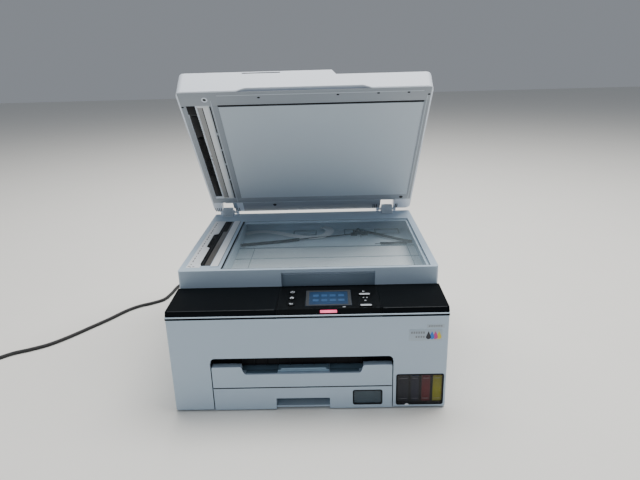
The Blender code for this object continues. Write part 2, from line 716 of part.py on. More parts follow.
U_CORNER = 3.5
shoulder = 3.0
out_face = [
    (face_x[0], SPLIT_Z + FIT),
    (face_x[1], SPLIT_Z + FIT),
    (face_x[1], OUT_TOP - 1.5),
    (face_x[1] - 1.5, OUT_TOP),
    (NOTCH_RIGHT + shoulder, OUT_TOP),
    (NOTCH_RIGHT + shoulder * 0.4, OUT_TOP - 1.2),
    (NOTCH_RIGHT - 1.0, NOTCH_Z + U_CORNER),
    (NOTCH_RIGHT - 1.0 - U_CORNER * 0.35, NOTCH_Z + U_CORNER * 0.35),
    (NOTCH_RIGHT - 1.0 - U_CORNER, NOTCH_Z),
    (NOTCH_LEFT + 1.0 + U_CORNER, NOTCH_Z),
    (NOTCH_LEFT + 1.0 + U_CORNER * 0.35, NOTCH_Z + U_CORNER * 0.35),
    (NOTCH_LEFT + 1.0, NOTCH_Z + U_CORNER),
    (NOTCH_LEFT - shoulder * 0.4, OUT_TOP - 1.2),
    (NOTCH_LEFT - shoulder, OUT_TOP),
    (face_x[0] + 1.5, OUT_TOP),
    (face_x[0], OUT_TOP - 1.5),
]
output = prism("output_tray", out_face, "Y", plate_y[0], plate_y[1])
unite(
    output,
    box("output_floor", (face_x[0], face_x[1]), (front + 1.0, 20.0), (NOTCH_Z - 3.0, NOTCH_Z)),
    prism(
        "output_ledge_left",
        [
            (face_x[0], NOTCH_Z - 1),
            (NOTCH_LEFT - 6.0, NOTCH_Z - 1),
            (NOTCH_LEFT - 9.0, OUT_TOP - 0.4),
            (face_x[0], OUT_TOP - 0.4),
        ],
        "Y",
        front + 1.0,
        front + 11.0,
    ),
    prism(
        "output_ledge_right",
        [
            (NOTCH_RIGHT + 6.0, NOTCH_Z - 1),
            (face_x[1], NOTCH_Z - 1),
            (face_x[1], OUT_TOP - 0.4),
            (NOTCH_RIGHT + 9.0, OUT_TOP - 0.4),
        ],
        "Y",
        front + 1.0,
        front + 11.0,
    ),
)
finish(output, WHITE, (0.0, front, OUT_TOP))

EXT_X = (-42.0, 28.0)
extension = box("output_extension", EXT_X, (front + 5.0, -30.0), (NOTCH_Z + FIT, NOTCH_Z + 3.3))
unite(
    extension,
    prism(
        "extension_stop",
        [
            (front + 5.0, NOTCH_Z + 1.0),
            (front + 9.0, NOTCH_Z + 1.0),
            (front + 9.0, NOTCH_Z + 5.5),
            (front + 6.0, NOTCH_Z + 5.5),
        ],
        "X",
        EXT_X[0] + 4.0,
        EXT_X[1] - 4.0,
    ),
)
finish(extension, LIGHT_GREY, ((EXT_X[0] + EXT_X[1]) / 2, front + 5.0, NOTCH_Z + 2.0))

# ---- upper unit: deck and scanner ---------------------------------------------------------------
deck_rear = SCAN_FRONT - FIT
SLOPE = (DECK_REAR_Z - CREASE_Z) / (deck_rear - CREASE_Y)


def deck_z(y, below=0.0):
    return CREASE_Z + (y - CREASE_Y) * SLOPE - below


deck = prism(
    "top_deck",
    [(front, PART_Z), (deck_rear, PART_Z), (deck_rear, DECK_REAR_Z), (CREASE_Y, CREASE_Z)],
    "X",
    -HALF_W,
    HALF_W,
)
DECK_SKIN = 2.2
cut(
    deck,
    prism(
        "deck_hollow",
        [
            (front + 3.4, PART_Z - 1),
            (deck_rear - DECK_SKIN, PART_Z - 1),
            (deck_rear - DECK_SKIN, DECK_REAR_Z - DECK_SKIN),
            (CREASE_Y + 1.6, CREASE_Z - DECK_SKIN),
        ],
        "X",
        -HALF_W + DECK_SKIN,
        HALF_W - DECK_SKIN,
    ),
)
well_x = (PANEL_X[0] - FIT, PANEL_X[1] + FIT)
unite(
    deck,
    prism(
        "panel_well_walls",
        [
            (front + 3.0, PART_Z),
            (deck_rear - 1.0, PART_Z),
            (deck_rear - 1.0, DECK_REAR_Z - 0.6),
            (CREASE_Y + 1.0, CREASE_Z - 0.6),
        ],
        "X",
        well_x[0] - DECK_SKIN,
        well_x[1] + DECK_SKIN,
    ),
)
cut(
    deck,
    box("panel_well", well_x, (front - 1, PANEL_REAR + PANEL_SWEEP), (PART_Z + 2.3, DECK_REAR_Z + 2)),
    box("panel_well_front", well_x, (front - 1, front + 4.8), (PART_Z - 1, PART_Z + 3)),
    cylinder(
        "panel_pin_bores",
        "X",
        (PANEL_AXIS_Y, PANEL_AXIS_Z),
        PANEL_PIN_R + RUN_CLEAR,
        well_x[0] - 1.7,
        well_x[1] + 1.7,
        16,
    ),
)
finish(deck, BLACK)

housing = prism(
    "scanner_housing",
    rounded((-SCAN_HALF_W, SCAN_HALF_W), (SCAN_FRONT, SCAN_REAR), 4.0, 3),
    "Z",
    PART_Z,
    SCAN_TOP,
)
cavity_y = (SCAN_FRONT + SCAN_FRONT_WALL, SCAN_REAR - WALL)
unite(housing, box("glass_divider", DIVIDER_X, DIVIDER_Y, (SCAN_TOP - 1, SCAN_TOP + DIVIDER_HIGH)))
cut(
    housing,
    box(
        "scanner_hollow",
        (-SCAN_HALF_W + WALL, SCAN_HALF_W - WALL),
        cavity_y,
        (PART_Z + SCAN_FLOOR, SCAN_TOP - GLASS_THICK - 0.9),
    ),
    box(
        "glass_seat",
        (GLASS_X[0] - FIT, GLASS_X[1] + FIT),
        (GLASS_Y[0] - FIT, GLASS_Y[1] + FIT),
        (SCAN_TOP - GLASS_THICK - FIT, SCAN_TOP + 2),
    ),
    box(
        "glass_aperture",
        (GLASS_X[0] + LEDGE, GLASS_X[1] - LEDGE),
        (GLASS_Y[0] + LEDGE, GLASS_Y[1] - LEDGE),
        (SCAN_TOP - 8, SCAN_TOP + 2),
    ),
    box(
        "strip_seat",
        (STRIP_X[0] - FIT, STRIP_X[1] + FIT),
        (STRIP_Y[0] - FIT, STRIP_Y[1] + FIT),
        (SCAN_TOP - 2.4, SCAN_TOP + 2),
    ),
    box(
        "strip_aperture",
        (STRIP_X[0] + 3, STRIP_X[1] - 3),
        (STRIP_Y[0] + 3, STRIP_Y[1] - 3),
        (SCAN_TOP - 8, SCAN_TOP + 2),
    ),
    prism(
        "finger_scoop",
        [
            (SCAN_FRONT - 1, PART_Z - 1),
            (SCAN_FRONT + SCOOP_DEEP, PART_Z - 1),
            (SCAN_FRONT + SCOOP_DEEP, SCOOP_TOP - 6),
            (SCAN_FRONT + SCOOP_DEEP * 0.6, SCOOP_TOP - 1.5),
            (SCAN_FRONT - 1, SCOOP_TOP),
        ],
        "X",
        SCOOP_X[0],
        SCOOP_X[1],
    ),
)
arm_z = (UNIT_AXIS_Z, UNIT_AXIS_Z + 12)
for side, word in ((1, "right"), (-1, "left")):
    low, high = sorted((side * ARM_X[0], side * ARM_X[1]))
    unite(
        housing,
        box(f"unit_arm_{word}", (low, high), (SCAN_REAR - 1, UNIT_AXIS_Y), arm_z),
        cylinder(f"unit_eye_{word}", "X", (UNIT_AXIS_Y, UNIT_AXIS_Z), UNIT_KNUCKLE_R, low, high),
    )
    cut(
        housing,
        cylinder(
            f"unit_bore_{word}",
            "X",
            (UNIT_AXIS_Y, UNIT_AXIS_Z),
            UNIT_PIN_R + RUN_CLEAR,
            low - 1,
            high + 1,
            16,
        ),
    )
finish(housing, WHITE, (0.0, UNIT_AXIS_Y, UNIT_AXIS_Z))

glass = box("scanner_glass", GLASS_X, GLASS_Y, (SCAN_TOP - GLASS_THICK, SCAN_TOP - 0.2))
finish(glass, CLEAR)
strip = box("feeder_glass_strip", STRIP_X, STRIP_Y, (SCAN_TOP - 2.1, SCAN_TOP - 0.4))
finish(strip, BLACK)

bar_z = (SCAN_TOP - 17.6, SCAN_TOP - 5.1)
bar_foot_z = PART_Z + 8.5
bar_mid_y = 15.0
scan_bar = box("scan_bar", SCAN_BAR_X, (GLASS_Y[0] + 7.0, GLASS_Y[1] - 2.0), bar_z)
bar_foot = box(
    "scan_bar_foot",
    (SCAN_BAR_X[0] + 2, SCAN_BAR_X[1] - 2),
    (bar_mid_y - 15.0, bar_mid_y + 15.0),
    (bar_foot_z, bar_z[0] + 1.0),
)
unite(scan_bar, bar_foot)
finish(scan_bar, DARK, (sum(SCAN_BAR_X) / 2, bar_mid_y, bar_foot_z))

# ---- operation panel ----------------------------------------------------------------------------
fascia_foot = (front + 0.05, PART_Z + 0.5)
panel = prism(
    "operation_panel",
    [
        fascia_foot,
        (front + 3.2, PART_Z + 0.5),
        (front + 4.4, PANEL_BOTTOM),
        (PANEL_AXIS_Y - 2.0, PANEL_BOTTOM),
        (PANEL_REAR, deck_z(PANEL_REAR, 4.0)),
        (PANEL_REAR, deck_z(PANEL_REAR, 0.1)),
        (CREASE_Y, CREASE_Z - 0.05),
    ],
    "X",
    PANEL_X[0],
    PANEL_X[1],
)
pin_low = PANEL_X[0] - 1.5
pin_high = PANEL_X[1] + 1.5
unite(
    panel,
    cylinder("panel_pins", "X", (PANEL_AXIS_Y, PANEL_AXIS_Z), PANEL_PIN_R, pin_low, pin_high, 16),
)
cut(
    panel,
    prism(
        "panel_hollow",
        [
            (CREASE_Y + 3.0, PANEL_BOTTOM - 1),
            (PANEL_AXIS_Y - 6.0, PANEL_BOTTOM - 1),
            (PANEL_AXIS_Y - 6.0, deck_z(PANEL_AXIS_Y - 6.0, PANEL_SKIN)),
            (CREASE_Y + 3.0, deck_z(CREASE_Y + 3.0, PANEL_SKIN)),
        ],
        "X",
        PANEL_X[0] + 3,
        PANEL_X[1] - 3,
    ),
    prism(
        "screen_seat",
        [
            (SCREEN_Y[0] - FIT, deck_z(SCREEN_Y[0] - FIT, 1.4)),
            (SCREEN_Y[1] + FIT, deck_z(SCREEN_Y[1] + FIT, 1.4)),
            (SCREEN_Y[1] + FIT, deck_z(SCREEN_Y[1] + FIT, -2.0)),
            (SCREEN_Y[0] - FIT, deck_z(SCREEN_Y[0] - FIT, -2.0)),
        ],
        "X",
        SCREEN_X[0] - FIT,
        SCREEN_X[1] + FIT,
    ),
)
fascia_run = (CREASE_Y - fascia_foot[0], CREASE_Z - 0.05 - fascia_foot[1])
fascia_length = math.hypot(*fascia_run)
along = (fascia_run[0] / fascia_length, fascia_run[1] / fascia_length)
inward = (along[1], -along[0])


def fascia(run, deep):
    """A point on the sloped front of the panel: run up the slope, deep into it."""
    y = fascia_foot[0] + along[0] * run + inward[0] * deep
    z = fascia_foot[1] + along[1] * run + inward[1] * deep
    return (y, z)


LIGHT_RUN = (6.0, 9.6)
cut(
    panel,
    prism(
        "light_seat",
        [
            fascia(LIGHT_RUN[0] - FIT, -1.0),
            fascia(LIGHT_RUN[0] - FIT, 1.2),
            fascia(LIGHT_RUN[1] + FIT, 1.2),
            fascia(LIGHT_RUN[1] + FIT, -1.0),
        ],
        "X",
        LIGHT_X[0] - FIT,
        LIGHT_X[1] + FIT,
    ),
)
key_hole_z = (PANEL_BOTTOM - 1.3, DECK_REAR_Z + 2.4)
for name, x, y in ROUND_KEYS:
    cut(panel, cylinder(f"{name}_hole", "Z", (x, y), ROUND_KEY_R + FIT, *key_hole_z, 20))
for name, x, y in BAR_KEYS:
    key_x = (x - BAR_KEY[0] / 2, x + BAR_KEY[0] / 2)
    key_y = (y - BAR_KEY[1] / 2, y + BAR_KEY[1] / 2)
    cut(
        panel,
        prism(
            f"{name}_hole",
            rounded((key_x[0] - FIT, key_x[1] + FIT), (key_y[0] - FIT, key_y[1] + FIT), 1.8, 2),
            "Z",
            *key_hole_z,
        ),
    )
finish(panel, BLACK, (0.0, PANEL_AXIS_Y, PANEL_AXIS_Z))

screen = prism(
    "touch_screen",
    [
        (SCREEN_Y[0], deck_z(SCREEN_Y[0], 1.1)),
        (SCREEN_Y[1], deck_z(SCREEN_Y[1], 1.1)),
        (SCREEN_Y[1], deck_z(SCREEN_Y[1], 0.1)),
        (SCREEN_Y[0], deck_z(SCREEN_Y[0], 0.1)),
    ],
    "X",
    SCREEN_X[0],
    SCREEN_X[1],
)
finish(screen, LCD)
light = prism(
    "status_light",
    [
        fascia(LIGHT_RUN[0], 0.0),
        fascia(LIGHT_RUN[0], 0.9),
        fascia(LIGHT_RUN[1], 0.9),
        fascia(LIGHT_RUN[1], 0.0),
    ],
    "X",
    LIGHT_X[0],
    LIGHT_X[1],
)
finish(light, PINK)
for name, x, y in ROUND_KEYS:
    top = deck_z(y) + KEY_PROUD
    key = cylinder(name, "Z", (x, y), ROUND_KEY_R, top - KEY_LONG, top, 20)
    finish(key, BLACK, (x, y, top))
for name, x, y in BAR_KEYS:
    top = deck_z(y) + KEY_PROUD
    key_x = (x - BAR_KEY[0] / 2, x + BAR_KEY[0] / 2)
    key_y = (y - BAR_KEY[1] / 2, y + BAR_KEY[1] / 2)
    key = prism(name, rounded(key_x, key_y, 1.5, 2), "Z", top - KEY_LONG, top)
    finish(key, BLACK, (x, y, top))

# ---- lid hinges ---------------------------------------------------------------------------------
for word, (low, high) in (("right", HINGE_RIGHT), ("left", HINGE_LEFT)):
    bracket = prism(
        f"lid_hinge_{word}",
        [
            (LID_AXIS_Y - 26.0, SCAN_TOP + FIT),
            (LID_AXIS_Y - 7.0, SCAN_TOP + FIT),
            (LID_AXIS_Y - 6.0, LID_AXIS_Z - 1.3),
            (LID_AXIS_Y, LID_AXIS_Z - 1.3),
            (LID_AXIS_Y, LID_AXIS_Z + 3.9),
            (LID_AXIS_Y - 11.0, LID_AXIS_Z + 4.5),
            (LID_AXIS_Y - 13.0, LID_AXIS_Z + 12.5),
            (LID_AXIS_Y - 22.0, LID_AXIS_Z + 12.5),
            (LID_AXIS_Y - 24.0, LID_AXIS_Z + 0.5),
            (LID_AXIS_Y - 26.0, LID_AXIS_Z - 0.1),
        ],
        "X",
        low,
        high,
    )
    axis_at = (LID_AXIS_Y, LID_AXIS_Z)
    pin_x = (low - HINGE_POCKET - LID_PIN_END, high + HINGE_POCKET + LID_PIN_END)
    unite(
        bracket,
        cylinder(f"hinge_eye_{word}", "X", axis_at, LID_EAR_R, low, high),
        cylinder(f"hinge_pin_{word}", "X", axis_at, LID_PIN_R, *pin_x, 16),
    )
    finish(bracket, LIGHT_GREY, ((low + high) / 2, LID_AXIS_Y, LID_AXIS_Z))

# ---- lid ----------------------------------------------------------------------------------------
lid_frame = bpy.data.objects.new("lid_axis", None)
PARTS.objects.link(lid_frame)
lid_frame.location = (0.0, LID_AXIS_Y * MM, LID_AXIS_Z * MM)
lid_frame.rotation_euler = (-math.radians(LID_OPEN), 0.0, 0.0)

lid = prism(
    "lid_shell",
    [
        (-LID_HALF_W, LID_UNDER),
        (LID_HALF_W, LID_UNDER),
        (LID_HALF_W, LID_TOP_RIGHT - 2.5),
        (LID_HALF_W - 2.5, LID_TOP_RIGHT),
        (LID_STEP[1], LID_TOP_RIGHT),
        (LID_STEP[0], LID_TOP_LEFT),
        (-LID_HALF_W + 2.5, LID_TOP_LEFT),
        (-LID_HALF_W, LID_TOP_LEFT - 2.5),
    ],
    "Y",
    LID_FRONT - 1,
    LID_REAR + 1,
)
combine(
    lid,
    "INTERSECT",
    [
        prism(
            "lid_plan",
            rounded((-LID_HALF_W - 0.001, LID_HALF_W + 0.001), (LID_FRONT, LID_REAR), LID_CORNER, 5),
            "Z",
            LID_UNDER - 5,
            LID_TOP_LEFT + 5,
        ),
    ],
)
hollow_y = (PAD_Y[0] + 5.0, PAD_Y[1] - 5.0)
cut(
    lid,
    prism(
        "lid_rear_slope",
        [
            (LID_REAR + 2, LID_UNDER + 9.6),
            (LID_REAR + 2, LID_UNDER + 42.9),
            (LID_REAR - 35.9, LID_UNDER + 42.9),
        ],
        "X",
        -LID_HALF_W - 1,
        LID_HALF_W + 1,
    ),
    prism(
        "lid_finger_lip",
        [
            (LIP_X[0], LID_UNDER - 1),
            (LIP_X[3], LID_UNDER - 1),
            (LIP_X[3], LID_UNDER),
            (LIP_X[2], LID_UNDER + LIP_HIGH),
            (LIP_X[1], LID_UNDER + LIP_HIGH),
            (LIP_X[0], LID_UNDER),
        ],
        "Y",
        LID_FRONT - 1,
        LID_FRONT + LIP_DEEP,
    ),
    box(
        "pad_seat",
        (PAD_X[0] - FIT, PAD_X[1] + FIT),
        (PAD_Y[0] - FIT, PAD_Y[1] + FIT),
        (LID_UNDER - 1, PAD_Z[1] + FIT),
    ),
    box("lid_hollow_mid", (FEEDER_POCKET_X[1] + 6.0, 38.0), hollow_y, (PAD_Z[1] - 1, FEED_DECK_Z - WALL)),
    box("lid_hollow_right", (46.0, PAD_X[1] - 4.0), hollow_y, (PAD_Z[1] - 1, LID_TOP_RIGHT - WALL)),
    box(
        "backing_seat",
        (BACKING_X[0] - FIT, BACKING_X[1] + FIT),
        (BACKING_Y[0] - FIT, BACKING_Y[1] + FIT),
        (LID_UNDER - 1, BACKING_TOP + FIT),
    ),
    box("feeder_pocket", FEEDER_POCKET_X, FEEDER_POCKET_Y, (FEEDER_FLOOR, LID_TOP_LEFT + OVER)),
    box(
        "feed_deck_pocket",
        (FEEDER_POCKET_X[1] - OVER, TRAY_X[1] + 2.0),
        FEEDER_POCKET_Y,
        (FEED_DECK_Z, LID_TOP_LEFT + OVER),
    ),
    box("feeder_slot", GUIDE_SLOT_X, GUIDE_SLOT_Y, (LID_UNDER - 1, FEEDER_FLOOR + 1.5)),
    box(
        "feeder_thumb_notch",
        (-92.0, -35.0),
        (LID_FRONT - 1, LID_FRONT + 6.0),
        (LID_TOP_LEFT - 3.6, LID_TOP_LEFT - 1.6),
    ),
)
axis_at = (LID_AXIS_Y, LID_AXIS_Z)
ear_y = (LID_AXIS_Y - 12.0, LID_AXIS_Y)
ear_z = (LID_UNDER, LID_AXIS_Z + 3.9)
for word, (low, high) in (("right", HINGE_RIGHT), ("left", HINGE_LEFT)):
    outer = HINGE_POCKET + LID_EAR_WIDE
    for end, ear_x in (("a", (low - outer, low - 1)), ("b", (high + 1, high + outer))):
        unite(
            lid,
            box(f"ear_block_{word}_{end}", ear_x, ear_y, ear_z),
            cylinder(f"ear_{word}_{end}", "X", axis_at, LID_EAR_R, *ear_x),
        )
    pocket_x = (low - HINGE_POCKET, high + HINGE_POCKET)
    pocket_y = (LID_AXIS_Y - 34.0, LID_AXIS_Y + 8.0)
    pocket_z = (LID_UNDER - 11.1, LID_UNDER + 22.9)
    bore_end = HINGE_POCKET + LID_PIN_END + FIT
    cut(
        lid,
        box(f"hinge_pocket_{word}", pocket_x, pocket_y, pocket_z),
        cylinder(
            f"hinge_bore_{word}",
            "X",
            axis_at,
            LID_PIN_R + RUN_CLEAR,
            low - bore_end,
            high + bore_end,
            16,
        ),
    )
finish(lid, WHITE, (0.0, LID_AXIS_Y, LID_AXIS_Z), lid_frame)

pad = box("lid_pad", PAD_X, PAD_Y, PAD_Z)
finish(pad, PAD_WHITE, (0.0, LID_AXIS_Y, LID_AXIS_Z), lid_frame)
backing = prism(
    "feeder_backing",
    [
        (BACKING_X[0], LID_UNDER + 0.3),
        (BACKING_X[0] + 8.6, LID_UNDER - 0.2),
        (BACKING_X[1], LID_UNDER + 0.1),
        (BACKING_X[1], BACKING_TOP),
        (BACKING_X[0], BACKING_TOP),
    ],
    "Y",
    BACKING_Y[0],
    BACKING_Y[1],
)
finish(backing, PAD_WHITE, (0.0, LID_AXIS_Y, LID_AXIS_Z), lid_frame)

guide_block = box(
    "feeder_guide",
    (GUIDE_SLOT_X[0] + FIT, GUIDE_SLOT_X[1] - FIT),
    (GUIDE_SLOT_Y[0] + FIT, GUIDE_SLOT_Y[1] - FIT),
    (LID_UNDER + 0.9, FEEDER_FLOOR + 3.5),
)
slit_x = (GUIDE_SLOT_X[0] + 3.5, GUIDE_SLOT_X[1] + OVER)
SLITS = 11
slit_pitch = (GUIDE_SLOT_Y[1] - GUIDE_SLOT_Y[0] - 20.0) / SLITS
for step in range(SLITS):
    start = GUIDE_SLOT_Y[0] + 12.0 + step * slit_pitch
    slit_y = (start, start + slit_pitch * 0.45)
    cut(guide_block, box(f"guide_slit_{step}", slit_x, slit_y, (LID_UNDER - 0.1, LID_UNDER + 4.9)))
finish(guide_block, BLACK, (0.0, LID_AXIS_Y, LID_AXIS_Z), lid_frame)

feeder_mid = sum(FEEDER_POCKET_Y) / 2
flap_y = (FEEDER_POCKET_Y[0] + FIT, FEEDER_POCKET_Y[1] - FIT)
cover = box("feeder_cover", COVER_X, flap_y, (FLAP_UNDER, LID_TOP_LEFT))
finish(cover, WHITE, (COVER_AXIS_X, feeder_mid, COVER_AXIS_Z), lid_frame)
tray = box("document_tray", TRAY_X, flap_y, (FLAP_UNDER, LID_TOP_LEFT - 0.2))
finish(tray, WHITE, (TRAY_AXIS_X, feeder_mid, TRAY_AXIS_Z), lid_frame)

for word, side in (("front", -1), ("rear", 1)):
    edge = feeder_mid + side * DOCUMENT_HALF
    low, high = sorted((edge, edge + side * 2.2))
    guide = box(f"document_guide_{word}", (-55.0, 22.0), (low, high), (FEED_DECK_Z + FIT, FLAP_UNDER - 2.0))
    low, high = sorted((edge + side * 1.0, edge - side * 30.0))
    foot_z = (FEED_DECK_Z + FIT, FEED_DECK_Z + FIT + 1.6)
    unite(guide, box(f"document_guide_foot_{word}", (-40.0, 10.0), (low, high), foot_z))
    finish(guide, MID_GREY, (-16.0, edge, FEED_DECK_Z), lid_frame)

feeder_ends = (FEEDER_POCKET_Y[0] + 1.0, FEEDER_POCKET_Y[1] - 1.0)
feeder_spans = ((feeder_mid - 92.0, feeder_mid - 32.0), (feeder_mid + 32.0, feeder_mid + 92.0))
feeder_profile = roller_profile(9.0, feeder_spans, feeder_ends)
feeder_roller = turned("feeder_roller", "Y", FEED_ROLLER_AT, feeder_profile, 20)
finish(feeder_roller, RUBBER, (FEED_ROLLER_AT[0], feeder_mid, FEED_ROLLER_AT[1]), lid_frame)

# ---- mains lead ---------------------------------------------------------------------------------
relief_end = CONNECTOR_Y[1] + RELIEF_LONG
connector = prism(
    "lead_connector",
    inlet_outline(SOCKET_HALF[0] - 0.4, SOCKET_HALF[1] - 0.4, 3.6),
    "Y",
    *CONNECTOR_Y,
)
relief = [(CONNECTOR_Y[1] - 1.0, RELIEF_R[0]), (relief_end, RELIEF_R[1])]
unite(connector, turned("connector_relief", "Y", inlet_mid, relief, 16))
finish(connector, RUBBER, (inlet_mid_x, CONNECTOR_Y[1], inlet_mid_z))

ROUTE = (
    (inlet_mid_x, relief_end + FIT, inlet_mid_z),
    (inlet_mid_x, relief_end + 15.0, inlet_mid_z),
    (-163.5, 263.0, 25.5),
    (-173.0, 276.0, 14.0),
    (-197.0, 289.0, CORD_Z + 2.4),
    (-229.0, 292.0, CORD_Z + 0.2),
    (-262.0, 283.0, CORD_Z),
    (-286.0, 263.0, CORD_Z),
    (-296.0, 238.0, CORD_Z),
    (-299.5, 208.0, CORD_Z),
    (-307.0, 178.0, CORD_Z),
    (-326.0, 161.0, CORD_Z),
    (-348.0, 148.0, CORD_Z),
    (-367.0, 128.0, CORD_Z),
    (-389.0, 92.0, CORD_Z),
    (-412.0, 59.0, CORD_Z),
    (-434.0, 28.0, CORD_Z),
    (-457.0, 2.0, CORD_Z),
    (-481.0, -14.0, CORD_Z),
    (-506.0, -27.0, CORD_Z),
    (-523.0, -42.0, CORD_Z),
    (-538.0, -54.5, CORD_Z),
    (-552.5, -66.5, CORD_Z),
)
STEP_ALONG = 14.0


def smooth(points, steps):
    """Catmull-Rom points through the route."""
    padded = [points[0] * 2 - points[1]] + points + [points[-1] * 2 - points[-2]]
    out = []
    for index in range(1, len(padded) - 2):
        a, b, c, d = padded[index - 1 : index + 3]
        for step in range(steps):
            t = step / steps
            out.append(
                0.5
                * (
                    2 * b
                    + (c - a) * t
                    + (2 * a - 5 * b + 4 * c - d) * t * t
                    + (3 * b - 3 * c + d - a) * t * t * t
                )
            )
    out.append(points[-1])
    return out


def along_route(points, gap):
    """Evenly spaced points on the smoothed route."""
    fine = smooth(points, 16)
    total = sum((b - a).length for a, b in zip(fine, fine[1:]))
    count = max(2, round(total / gap))
    spots = [fine[0]]
    run = 0.0
    for a, b in zip(fine, fine[1:]):
        length = (b - a).length
        while len(spots) < count and run + length >= total * len(spots) / count:
            spots.append(a.lerp(b, (total * len(spots) / count - run) / length))
        run += length
    spots.append(fine[-1])
    return spots


def cord(name, points, radius):
    data = bpy.data.curves.new(name + "_path", "CURVE")
    data.dimensions = "3D"
    data.bevel_depth = radius * MM
    data.bevel_resolution = 2
    data.use_fill_caps = True
    line = data.splines.new("POLY")
    line.points.add(len(points) - 1)
    for spot, point in zip(line.points, points):
        spot.co = (point.x * MM, point.y * MM, point.z * MM, 1.0)
    obj = as_mesh(name, bpy.data.objects.new(name + "_path", data), Matrix.Identity(4))
    return finish(obj, RUBBER)


cord("mains_lead", along_route([Vector(point) for point in ROUTE], STEP_ALONG), CORD_R)

coil = ring("lead_coil", COIL_CENTRE, COIL_Z, COIL_MID_R, COIL_HALF)
finish(coil, RUBBER)
PLUG_OUTLINE = ((6.0, 0.0), (15.0, 20.0), (15.0, 34.0))
plug_mid = sum(PLUG_Z) / 2
sides = [(PLUG_X + wide, PLUG_Y + along) for wide, along in PLUG_OUTLINE]
sides += [(PLUG_X - wide, PLUG_Y + along) for wide, along in reversed(PLUG_OUTLINE)]
plug = prism("mains_plug", sides, "Z", *PLUG_Z)
relief = [(PLUG_Y - RELIEF_LONG, RELIEF_R[1]), (PLUG_Y + 1.0, RELIEF_R[0])]
unite(plug, turned("plug_relief", "Y", (PLUG_X, plug_mid), relief, 16))
pin_y = (PLUG_Y + 33.0, PLUG_Y + 53.0)
for end, side in (("a", -1), ("b", 1)):
    pin_at = (PLUG_X + side * 9.5, plug_mid)
    unite(plug, cylinder(f"plug_pin_{end}", "Y", pin_at, 2.0, *pin_y, 12))
finish(plug, RUBBER)
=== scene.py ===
"""The look of the all-in-one ink-tank printer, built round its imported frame. Sizes are in millimetres."""

import json
import math
from random import Random

import bmesh
import bpy
from mathutils import Matrix
from mathutils import Vector


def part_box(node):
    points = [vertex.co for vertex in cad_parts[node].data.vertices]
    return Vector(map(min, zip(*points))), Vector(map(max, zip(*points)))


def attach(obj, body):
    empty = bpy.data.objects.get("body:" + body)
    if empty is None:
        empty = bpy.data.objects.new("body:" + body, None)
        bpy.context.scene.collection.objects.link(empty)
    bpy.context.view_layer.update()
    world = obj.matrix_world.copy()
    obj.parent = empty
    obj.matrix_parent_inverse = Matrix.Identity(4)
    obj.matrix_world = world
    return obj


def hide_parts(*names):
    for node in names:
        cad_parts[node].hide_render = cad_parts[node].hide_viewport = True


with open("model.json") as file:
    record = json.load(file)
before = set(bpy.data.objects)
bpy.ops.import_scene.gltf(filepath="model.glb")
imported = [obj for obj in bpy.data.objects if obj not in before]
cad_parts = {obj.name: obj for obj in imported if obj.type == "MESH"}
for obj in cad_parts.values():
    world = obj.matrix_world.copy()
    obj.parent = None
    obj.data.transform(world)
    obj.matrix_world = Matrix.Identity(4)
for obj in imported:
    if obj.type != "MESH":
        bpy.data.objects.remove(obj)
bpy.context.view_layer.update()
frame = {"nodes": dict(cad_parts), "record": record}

MM = 0.001
JOINTS = {joint["name"]: joint for joint in frame["record"]["behaviour"]["joints"]}


def node_box(name):
    """A node's lowest and highest corners in millimetres."""
    low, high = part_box(name)
    return Vector(low) / MM, Vector(high) / MM


CASE_LOW, CASE_HIGH = node_box("lower_casing")
GLASS_LOW, GLASS_HIGH = node_box("scanner_glass")
PANEL_LOW, PANEL_HIGH = node_box("operation_panel")
LID_JOINT = JOINTS["lid_hinge"]
LID_OPEN = math.radians(-LID_JOINT["range_deg"][0])
LID_AXIS = Vector(LID_JOINT["pos_m"]) / MM
CLOSED_TO_OPEN = (
    Matrix.Translation(LID_AXIS)
    @ Matrix.Rotation(-LID_OPEN, 4, "X")
    @ Matrix.Translation(-LID_AXIS)
)

# ---- camera -------------------------------------------------------------------------------------
CAMERA_AT = (31.95, -828.6, 467.3)
CAMERA_YAW = math.radians(-1.042)
CAMERA_PITCH = math.radians(18.864)
CAMERA_ROLL = math.radians(-1.584)
SENSOR = 36.0
FOCAL = 30.545

lens = bpy.data.cameras.new("camera")
lens.sensor_width = SENSOR
lens.lens = FOCAL
lens.clip_start = 0.01
camera = bpy.data.objects.new("camera", lens)
bpy.context.scene.collection.objects.link(camera)
forward = Vector(
    (
        math.sin(CAMERA_YAW) * math.cos(CAMERA_PITCH),
        math.cos(CAMERA_YAW) * math.cos(CAMERA_PITCH),
        -math.sin(CAMERA_PITCH),
    )
)
level_right = Vector((math.cos(CAMERA_YAW), -math.sin(CAMERA_YAW), 0.0))
level_up = level_right.cross(forward)
right = level_right * math.cos(CAMERA_ROLL) + level_up * math.sin(CAMERA_ROLL)
up = level_up * math.cos(CAMERA_ROLL) - level_right * math.sin(CAMERA_ROLL)
turn = Matrix((right, up, -forward)).transposed().to_4x4()
camera.matrix_world = Matrix.Translation(Vector(CAMERA_AT) * MM) @ turn
bpy.context.scene.camera = camera


